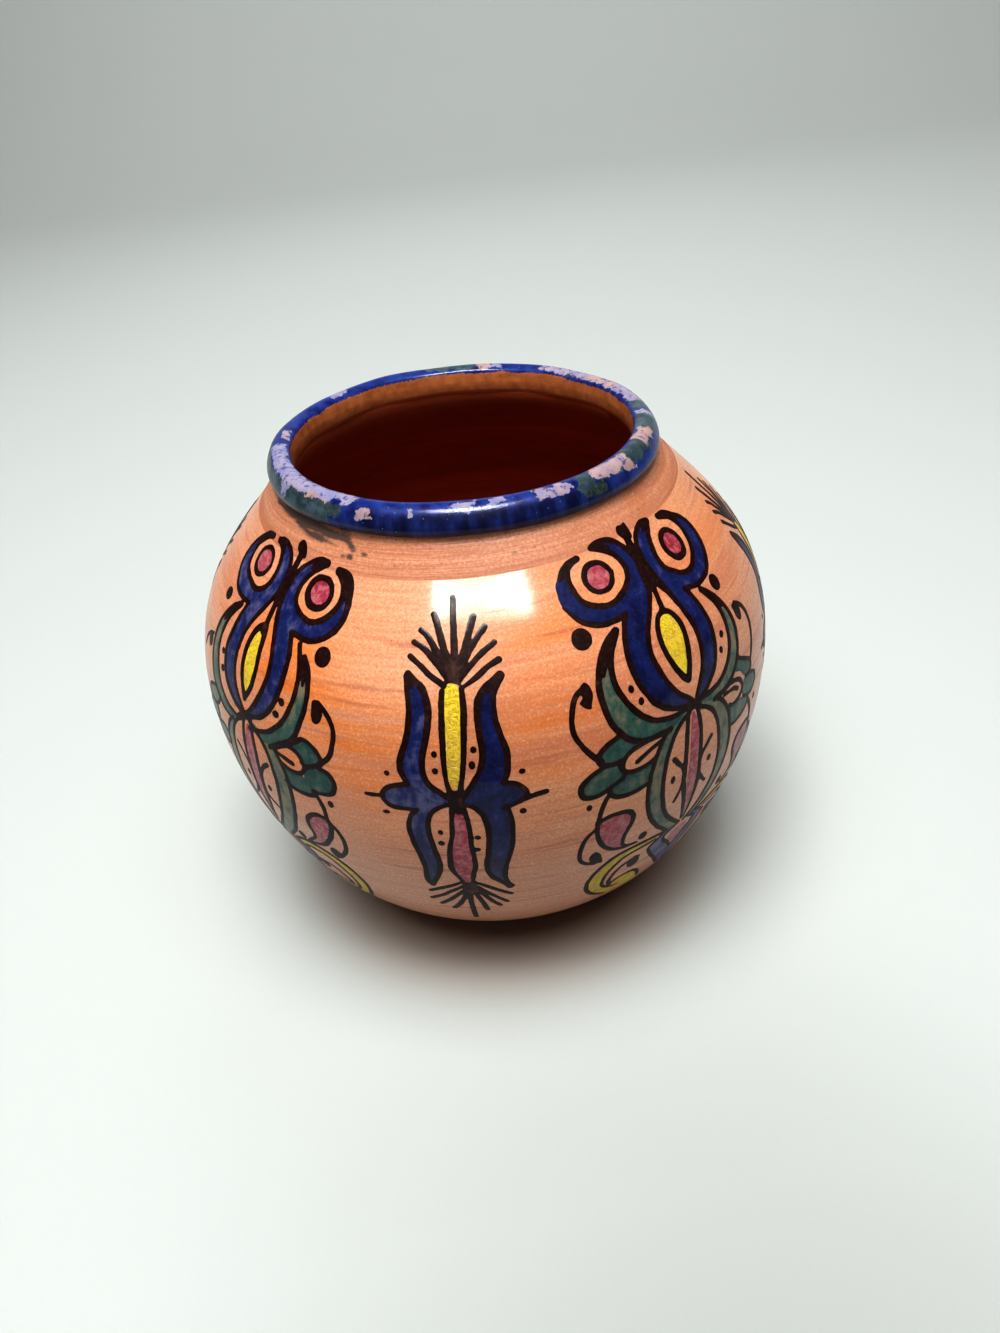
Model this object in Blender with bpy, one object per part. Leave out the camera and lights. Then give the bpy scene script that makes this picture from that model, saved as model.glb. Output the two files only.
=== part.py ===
"""Round earthenware vase with a wide mouth and a thick rolled rim.

The pot is made of the five clay sections that a potter shapes and lutes together with slip
before firing: a turned foot ring, a base slab, the thrown globe wall, a short neck collar and
the rolled rim band. Metres, +Z up, origin on the table under the middle of the pot.
"""

import math

import bmesh
import bpy

# ------------------------------------------------------------------ driving dimensions (m)
BELLY_R = 0.0700  # largest outer radius
BELLY_Z = 0.0640  # height of the widest ring above the table
WALL = 0.0050  # wall thickness of the globe
LUTE = 0.0003  # slip-filled seam left between two clay sections

FOOT_OUT_R = 0.0360  # outer radius of the foot ring where it stands
FOOT_IN_R = 0.0290
FOOT_H = 0.0030
FOOT_EDGE = 0.0006  # softened edges of the foot ring

SLAB_TOP_Z = 0.0080  # top of the base slab, which the wall stands on

NECK_DEG = 42.9  # latitude of the fine line where the shoulder meets the neck
NECK_BEND_DEG = 49.0  # latitude where the neck leaves the globe's curve and turns upright
NECK_TOP_R = 0.0437  # outer radius of the neck, tucked in under the rim band
RIM_Z0 = BELLY_Z + 0.0527  # underside of the rim band
RIM_Z1 = BELLY_Z + 0.0581  # top of the pot
RIM_OUT_R = 0.0449  # largest radius of the rim band
MOUTH_R = 0.0389  # clear radius of the mouth

AROUND = 64  # facets round every turned section

# The globe is nearly a sphere. Each row is a latitude seen from the widest ring's centre and
# the distance out to the surface there, as a share of BELLY_R: full below, eased at the shoulder.
GLOBE = [
    (-62.0, 1.031),
    (-42.0, 1.022),
    (-21.0, 0.998),
    (0.0, 1.000),
    (10.0, 1.005),
    (21.0, 0.998),
    (36.0, 0.959),
    (42.9, 0.951),
    (49.0, 0.962),
]


# ------------------------------------------------------------------ geometry helpers
def eased(table, x):
    """Smooth curve through the table's rows, by cubic Hermite pieces with averaged slopes."""
    xs = [row[0] for row in table]
    ys = [row[1] for row in table]
    slopes = []
    for i in range(len(xs)):
        a, b = max(0, i - 1), min(len(xs) - 1, i + 1)
        slopes.append((ys[b] - ys[a]) / (xs[b] - xs[a]))
    k = max(i for i in range(len(xs) - 1) if xs[i] <= max(x, xs[0]))
    h = xs[k + 1] - xs[k]
    t = (x - xs[k]) / h
    return (
        ys[k] * (2 * t**3 - 3 * t**2 + 1)
        + slopes[k] * h * (t**3 - 2 * t**2 + t)
        + ys[k + 1] * (3 * t**2 - 2 * t**3)
        + slopes[k + 1] * h * (t**3 - t**2)
    )


def globe(deg, inward=0.0):
    """(radius, height) of the globe's surface at a latitude, moved inward by a thickness."""
    reach = BELLY_R * eased(GLOBE, deg) - inward
    return (
        reach * math.cos(math.radians(deg)),
        BELLY_Z + reach * math.sin(math.radians(deg)),
    )


def latitude_at(height, inward=0.0):
    """The latitude below the belly at which the globe's surface passes a height."""
    low, high = -62.0, 0.0
    for _ in range(50):
        middle = (low + high) / 2
        if globe(middle, inward)[1] < height:
            low = middle
        else:
            high = middle
    return (low + high) / 2


def spread(a, b, count):
    """Evenly spaced values from a to b, both included."""
    return [a + (b - a) * i / (count - 1) for i in range(count)]


def arc(centre, rx, rz, start, end, count):
    """Points of an elliptical arc round a centre, from one angle to another in degrees."""
    return [
        (
            centre[0] + rx * math.cos(math.radians(a)),
            centre[1] + rz * math.sin(math.radians(a)),
        )
        for a in spread(start, end, count)
    ]


def turned(name, outline, material, closed=True):
    """One object: a cross-section in the XZ plane, spun round the pot's axis.

    The outline runs down its outer side and back up its inner side. Where closed is False it
    starts and ends on the axis.
    """
    bm = bmesh.new()
    verts = [bm.verts.new((r, 0.0, z)) for r, z in outline]
    edges = [bm.edges.new(pair) for pair in zip(verts, verts[1:])]
    if closed:
        edges.append(bm.edges.new((verts[-1], verts[0])))
    bmesh.ops.spin(
        bm,
        geom=verts + edges,
        cent=(0.0, 0.0, 0.0),
        axis=(0.0, 0.0, 1.0),
        angle=2 * math.pi,
        steps=AROUND,
        use_merge=True,
    )
    bmesh.ops.remove_doubles(bm, verts=bm.verts, dist=0.000005)
    bmesh.ops.recalc_face_normals(bm, faces=bm.faces)
    mesh = bpy.data.meshes.new(name)
    bm.to_mesh(mesh)
    bm.free()
    mesh.shade_smooth()
    mesh.set_sharp_from_angle(angle=math.radians(35))
    mesh.materials.append(material)
    obj = bpy.data.objects.new(name, mesh)
    bpy.context.scene.collection.objects.link(obj)
    return obj


def clay(name, colour, roughness, coat=0.0):
    """A fired-clay finish; a coat above zero is a clear varnish over it."""
    material = bpy.data.materials.new(name)
    material.use_nodes = True
    shader = material.node_tree.nodes["Principled BSDF"]
    shader.inputs["Base Color"].default_value = (*colour, 1.0)
    shader.inputs["Roughness"].default_value = roughness
    shader.inputs["Metallic"].default_value = 0.0
    shader.inputs["Coat Weight"].default_value = coat
    return material


# ------------------------------------------------------------------ the model
for old in list(bpy.data.objects):
    bpy.data.objects.remove(old, do_unlink=True)

foot_clay = clay("foot_clay", (0.50, 0.22, 0.11), 0.85)
base_clay = clay("base_clay", (0.54, 0.24, 0.12), 0.80)
wall_clay = clay("wall_clay", (0.72, 0.34, 0.18), 0.35, 0.5)
neck_clay = clay("neck_clay", (0.68, 0.33, 0.19), 0.60)
rim_blue = clay("rim_blue", (0.015, 0.03, 0.22), 0.30, 0.5)

frame = bpy.data.objects.new("vase", None)
bpy.context.scene.collection.objects.link(frame)

# Foot ring: a low turned ring, flat where it stands on the table.
foot = turned(
    "foot_ring",
    [
        (FOOT_OUT_R + 0.0008, FOOT_H),
        (FOOT_OUT_R, FOOT_H * 0.6),
        (FOOT_OUT_R, FOOT_EDGE),
        (FOOT_OUT_R - FOOT_EDGE, 0.0),
        (FOOT_IN_R + FOOT_EDGE, 0.0),
        (FOOT_IN_R, FOOT_EDGE),
        (FOOT_IN_R, FOOT_H * 0.6),
        (FOOT_IN_R - 0.0010, FOOT_H),
    ],
    foot_clay,
)

# Base slab: a disc whose edge already follows the globe, and which the wall stands on.
slab_low, slab_high = FOOT_H + LUTE, SLAB_TOP_Z
slab_edge = [globe(latitude_at(z)) for z in spread(slab_high, slab_low, 5)]
slab = turned(
    "base_slab",
    [(0.0, slab_high), (0.020, slab_high)] + slab_edge + [(0.020, slab_low), (0.0, slab_low)],
    base_clay,
    closed=False,
)

# Globe wall: thrown, of even thickness, open at the bottom onto the slab and at the neck line.
wall_low = SLAB_TOP_Z + LUTE
outside = [globe(a) for a in spread(NECK_DEG, latitude_at(wall_low), 21)]
inside = [globe(a, WALL) for a in spread(latitude_at(wall_low, WALL), NECK_DEG, 17)]
wall = turned("globe_wall", outside + inside, wall_clay)

# Neck collar: carries on from the shoulder line and turns upright under the rim band.
lift_deg = math.degrees(LUTE / BELLY_R) * 1.1
neck_top = RIM_Z0 - LUTE
neck_out = [globe(a) for a in spread(NECK_BEND_DEG, NECK_DEG + lift_deg, 5)]
neck_in = [globe(a, WALL) for a in spread(NECK_DEG + lift_deg, NECK_BEND_DEG, 4)]
neck = turned(
    "neck_collar",
    [(NECK_TOP_R, neck_top)] + neck_out + neck_in + [(MOUTH_R + 0.0004, neck_top)],
    neck_clay,
)

# Rim band: a thick coil rolled over the neck, full at its lower edge and softened on top.
rim_h = RIM_Z1 - RIM_Z0
rim = turned(
    "rim_band",
    arc((MOUTH_R + 0.0032, RIM_Z1 - 0.0030), 0.0026, 0.0030, 90, 10, 5)
    + [(RIM_OUT_R, RIM_Z0 + rim_h * 0.22), (RIM_OUT_R - 0.0004, RIM_Z0)]
    + [(MOUTH_R + 0.0004, RIM_Z0), (MOUTH_R, RIM_Z0 + rim_h * 0.4)]
    + arc((MOUTH_R + 0.0024, RIM_Z1 - 0.0016), 0.0024, 0.0016, 180, 90, 5),
    rim_blue,
)

for piece in (foot, slab, wall, neck, rim):
    piece.parent = frame
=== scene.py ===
"""Painted earthenware vase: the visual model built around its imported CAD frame.

The turned clay sections are closed lathes with the throwing rings and the slight unevenness of
a hand-made pot. The ornament is real paint: every motif is a set of thin closed films, one for
each colour, laid on the globe. Metres, +Z up, origin on the table under the middle of the pot.
Azimuth is 0 at the front (-Y) and grows towards +X. Latitude is counted from the widest ring.
"""

import math

import bpy
import numpy as np
from mathutils import Matrix, Vector


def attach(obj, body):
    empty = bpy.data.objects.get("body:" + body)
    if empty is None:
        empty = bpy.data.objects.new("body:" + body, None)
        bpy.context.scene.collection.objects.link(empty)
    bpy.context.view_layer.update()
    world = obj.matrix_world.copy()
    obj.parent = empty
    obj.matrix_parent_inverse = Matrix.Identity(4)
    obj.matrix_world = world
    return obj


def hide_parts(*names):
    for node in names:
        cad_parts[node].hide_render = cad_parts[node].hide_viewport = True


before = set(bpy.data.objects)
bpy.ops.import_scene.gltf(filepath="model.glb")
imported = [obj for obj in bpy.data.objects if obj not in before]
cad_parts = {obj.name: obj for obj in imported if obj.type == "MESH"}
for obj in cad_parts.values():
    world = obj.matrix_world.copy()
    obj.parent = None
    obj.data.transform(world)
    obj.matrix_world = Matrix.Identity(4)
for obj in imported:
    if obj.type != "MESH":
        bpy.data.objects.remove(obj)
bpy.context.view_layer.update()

# ------------------------------------------------------------------ the pot's own dimensions (m)
BELLY_R = 0.0700
BELLY_Z = 0.0640
WALL = 0.0050
NECK_DEG = 42.9  # the fine line where the varnished shoulder meets the brushed neck
NECK_BEND_DEG = 49.0
NECK_TOP_R = 0.0437
RIM_LOW = BELLY_Z + 0.0527
FOOT_OUT_R, FOOT_IN_R, FOOT_H = 0.0360, 0.0290, 0.0030
SLAB_TOP_Z = 0.0080
GLOBE = [
    (-62.0, 1.031),
    (-42.0, 1.022),
    (-21.0, 0.998),
    (0.0, 1.000),
    (10.0, 1.005),
    (21.0, 0.998),
    (36.0, 0.959),
    (42.9, 0.951),
    (49.0, 0.962),
]
MM = 0.001

# The rolled rim's section, radius and height above the widest ring in mm, from inside the mouth
# over the top and down the outer face.
RIM_SECTION = [
    (38.6, 54.5),
    (39.0, 56.9),
    (39.8, 57.7),
    (41.2, 58.1),
    (42.4, 57.8),
    (43.4, 57.0),
    (44.3, 55.5),
    (44.8, 54.0),
    (44.6, 52.8),
]


# ------------------------------------------------------------------ numbers
def eased(table, x):
    """Smooth curve through the table's rows, by cubic Hermite pieces with averaged slopes."""
    xs = np.array([row[0] for row in table])
    ys = np.array([row[1] for row in table])
    last = len(xs) - 1
    slopes = np.array(
        [
            (ys[min(last, i + 1)] - ys[max(0, i - 1)])
            / (xs[min(last, i + 1)] - xs[max(0, i - 1)])
            for i in range(last + 1)
        ]
    )
    x = np.asarray(x, float)
    k = np.clip(np.searchsorted(xs, x, side="right") - 1, 0, last - 1)
    h = xs[k + 1] - xs[k]
    t = (x - xs[k]) / h
    return (
        ys[k] * (2 * t**3 - 3 * t**2 + 1)
        + slopes[k] * h * (t**3 - 2 * t**2 + t)
        + ys[k + 1] * (3 * t**2 - 2 * t**3)
        + slopes[k + 1] * h * (t**3 - t**2)
    )


def step(x, low, high):
    """0 below low, 1 above high, and an S-curve between."""
    t = np.clip((np.asarray(x, float) - low) / (high - low), 0.0, 1.0)
    return t * t * (3 - 2 * t)


def chance(ix, iy, seed):
    """Repeatable numbers from 0 to 1 for the corners of a whole-number grid."""
    n = (
        ix.astype(np.int64) * 374761393
        + iy.astype(np.int64) * 668265263
        + int(seed) * 974634777
    ) & 0xFFFFFFFF
    n = ((n ^ (n >> 13)) * 1274126177) & 0xFFFFFFFF
    return (n ^ (n >> 16)) / 4294967295.0


def rough(x, y, seed):
    """Value noise, from -1 to 1, with one bump for every unit of x and y."""
    x, y = np.asarray(x, float), np.asarray(y, float)
    x0, y0 = np.floor(x), np.floor(y)
    fx, fy = step(x - x0, 0, 1), step(y - y0, 0, 1)
    a = chance(x0, y0, seed) * (1 - fx) + chance(x0 + 1, y0, seed) * fx
    b = chance(x0, y0 + 1, seed) * (1 - fx) + chance(x0 + 1, y0 + 1, seed) * fx
    return 2 * (a * (1 - fy) + b * fy) - 1


def curve_through(points, closed=False, pieces=8):
    """Catmull-Rom curve through the points."""
    p = np.array(points, float)
    count = len(p)
    if count < 3 and not closed:
        return p
    t = (np.arange(pieces) / pieces)[:, None]
    out = []
    for i in range(count if closed else count - 1):
        if closed:
            a, b, c, d = (p[(i + k) % count] for k in (-1, 0, 1, 2))
        else:
            b, c = p[i], p[i + 1]
            a = p[i - 1] if i > 0 else 2 * b - c
            d = p[i + 2] if i + 2 < count else 2 * c - b
        out.append(
            0.5
            * (
                2 * b
                + (c - a) * t
                + (2 * a - 5 * b + 4 * c - d) * t**2
                + (-a + 3 * b - 3 * c + d) * t**3
            )
        )
    if not closed:
        out.append(p[-1:])
    return np.concatenate(out)


def evenly(points, spacing):
    """The same line with points at an even spacing, and the distance along it to each."""
    p = np.array(points, float)
    along = np.concatenate([[0], np.cumsum(np.hypot(*np.diff(p, axis=0).T))])
    count = max(2, int(round(along[-1] / spacing)) + 1)
    s = np.linspace(0, along[-1], count)
    return np.stack([np.interp(s, along, p[:, 0]), np.interp(s, along, p[:, 1])], 1), s


# ------------------------------------------------------------------ the pot's surface
def uneven(az, lat):
    """How far the hand-thrown surface strays from a true turned one."""
    return MM * (
        0.11 * np.sin(2 * az + 0.6)
        + 0.05 * np.sin(3 * az - 1.1 + lat * 0.05)
        + 0.03 * np.sin(5 * az + 2.0 - lat * 0.09)
    )


def lean(p):
    """The rim was rolled a little out of level: it sinks towards +X above the neck line."""
    rise = step(p[..., 2], BELLY_Z + 0.0453, RIM_LOW)
    p = p.copy()
    p[..., 2] += rise * (-0.01934 * p[..., 0] + 0.003445 * p[..., 1])
    return p


def turned_point(az, r, z):
    """A point at an azimuth (radians), radius and height."""
    r = np.asarray(r, float)
    return lean(np.stack(np.broadcast_arrays(r * np.sin(az), -r * np.cos(az), z), -1))


def on_globe(az, lat, off=0.0):
    """A point on the globe's outer surface, moved out by off metres."""
    reach = BELLY_R * eased(GLOBE, lat) + uneven(az, lat) + off
    level = np.radians(lat)
    return turned_point(az, reach * np.cos(level), BELLY_Z + reach * np.sin(level))


def latitude_at(height, inward=0.0):
    """The latitude below the belly at which the globe's surface passes a height."""
    low, high = -62.0, 0.0
    for _ in range(50):
        middle = (low + high) / 2
        reach = BELLY_R * float(eased(GLOBE, middle)) - inward
        if BELLY_Z + reach * math.sin(math.radians(middle)) < height:
            low = middle
        else:
            high = middle
    return (low + high) / 2


# ------------------------------------------------------------------ meshes
def fast_mesh(name, points, faces, values=None, sharp=None):
    """A mesh object from an array of points and lists of face rows."""
    mesh = bpy.data.meshes.new(name)
    sizes = np.concatenate([np.full(len(f), f.shape[1]) for f in faces if len(f)])
    corners = np.concatenate([f.ravel() for f in faces if len(f)])
    mesh.vertices.add(len(points))
    mesh.vertices.foreach_set("co", np.asarray(points, np.float32).ravel())
    mesh.loops.add(len(corners))
    mesh.loops.foreach_set("vertex_index", corners.astype(np.int32))
    mesh.polygons.add(len(sizes))
    starts = np.concatenate([[0], np.cumsum(sizes)[:-1]])
    mesh.polygons.foreach_set("loop_start", starts.astype(np.int32))
    mesh.update(calc_edges=True)
    mesh.validate()
    mesh.shade_smooth()
    if sharp:
        mesh.set_sharp_from_angle(angle=math.radians(sharp))
    for key, numbers in (values or {}).items():
        layer = mesh.attributes.new(key, "FLOAT", "POINT")
        layer.data.foreach_set("value", np.asarray(numbers, np.float32).ravel())
    obj = bpy.data.objects.new(name, mesh)
    bpy.context.scene.collection.objects.link(obj)
    return obj


def volume_sign(p, quads):
    """Positive when the quads of a closed shell face outwards."""
    a, b, c, d = (p[quads[:, k]] for k in range(4))
    return np.sum(np.cross(b - a, d - a) * a) + np.sum(np.cross(d - c, b - c) * c)


def lathe(name, grid, values=None, sharp=40):
    """A closed ring from a grid of points: rows follow the section, columns go round."""
    rows, cols = grid.shape[:2]
    i, j = np.meshgrid(np.arange(rows), np.arange(cols), indexing="ij")
    at = lambda a, b: ((a % rows) * cols + b % cols).ravel()
    quads = np.stack([at(i, j), at(i, j + 1), at(i + 1, j + 1), at(i + 1, j)], 1)
    p = grid.reshape(-1, 3)
    if volume_sign(p, quads) < 0:
        quads = quads[:, ::-1]
    return fast_mesh(name, p, [quads], values, sharp)


def disc(name, grid, sharp=40):
    """A closed solid whose section starts and ends on the axis, the first and last rows."""
    rows, cols = grid.shape[:2]
    middle = grid[1:-1].reshape(-1, 3)
    p = np.concatenate([middle, grid[0, :1], grid[-1, :1]])
    top, bottom = len(middle), len(middle) + 1
    i, j = np.meshgrid(np.arange(rows - 3), np.arange(cols), indexing="ij")
    at = lambda a, b: (a * cols + b % cols).ravel()
    quads = np.stack([at(i, j), at(i, j + 1), at(i + 1, j + 1), at(i + 1, j)], 1)
    j = np.arange(cols)
    first = np.stack([j, np.full(cols, top), (j + 1) % cols], 1)
    base = (rows - 3) * cols
    last = np.stack([base + j, base + (j + 1) % cols, np.full(cols, bottom)], 1)
    a, b, c = (p[first[:, k]] for k in range(3))
    upward = np.sum(np.cross(b - a, c - a)[:, 2]) > 0
    if not upward:
        quads, first, last = quads[:, ::-1], first[:, ::-1], last[:, ::-1]
    return fast_mesh(name, p, [quads, first, last], None, sharp)


def round_pot(count):
    """Azimuths of a ring's columns, in radians."""
    return np.arange(count) * (2 * math.pi / count)


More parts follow.
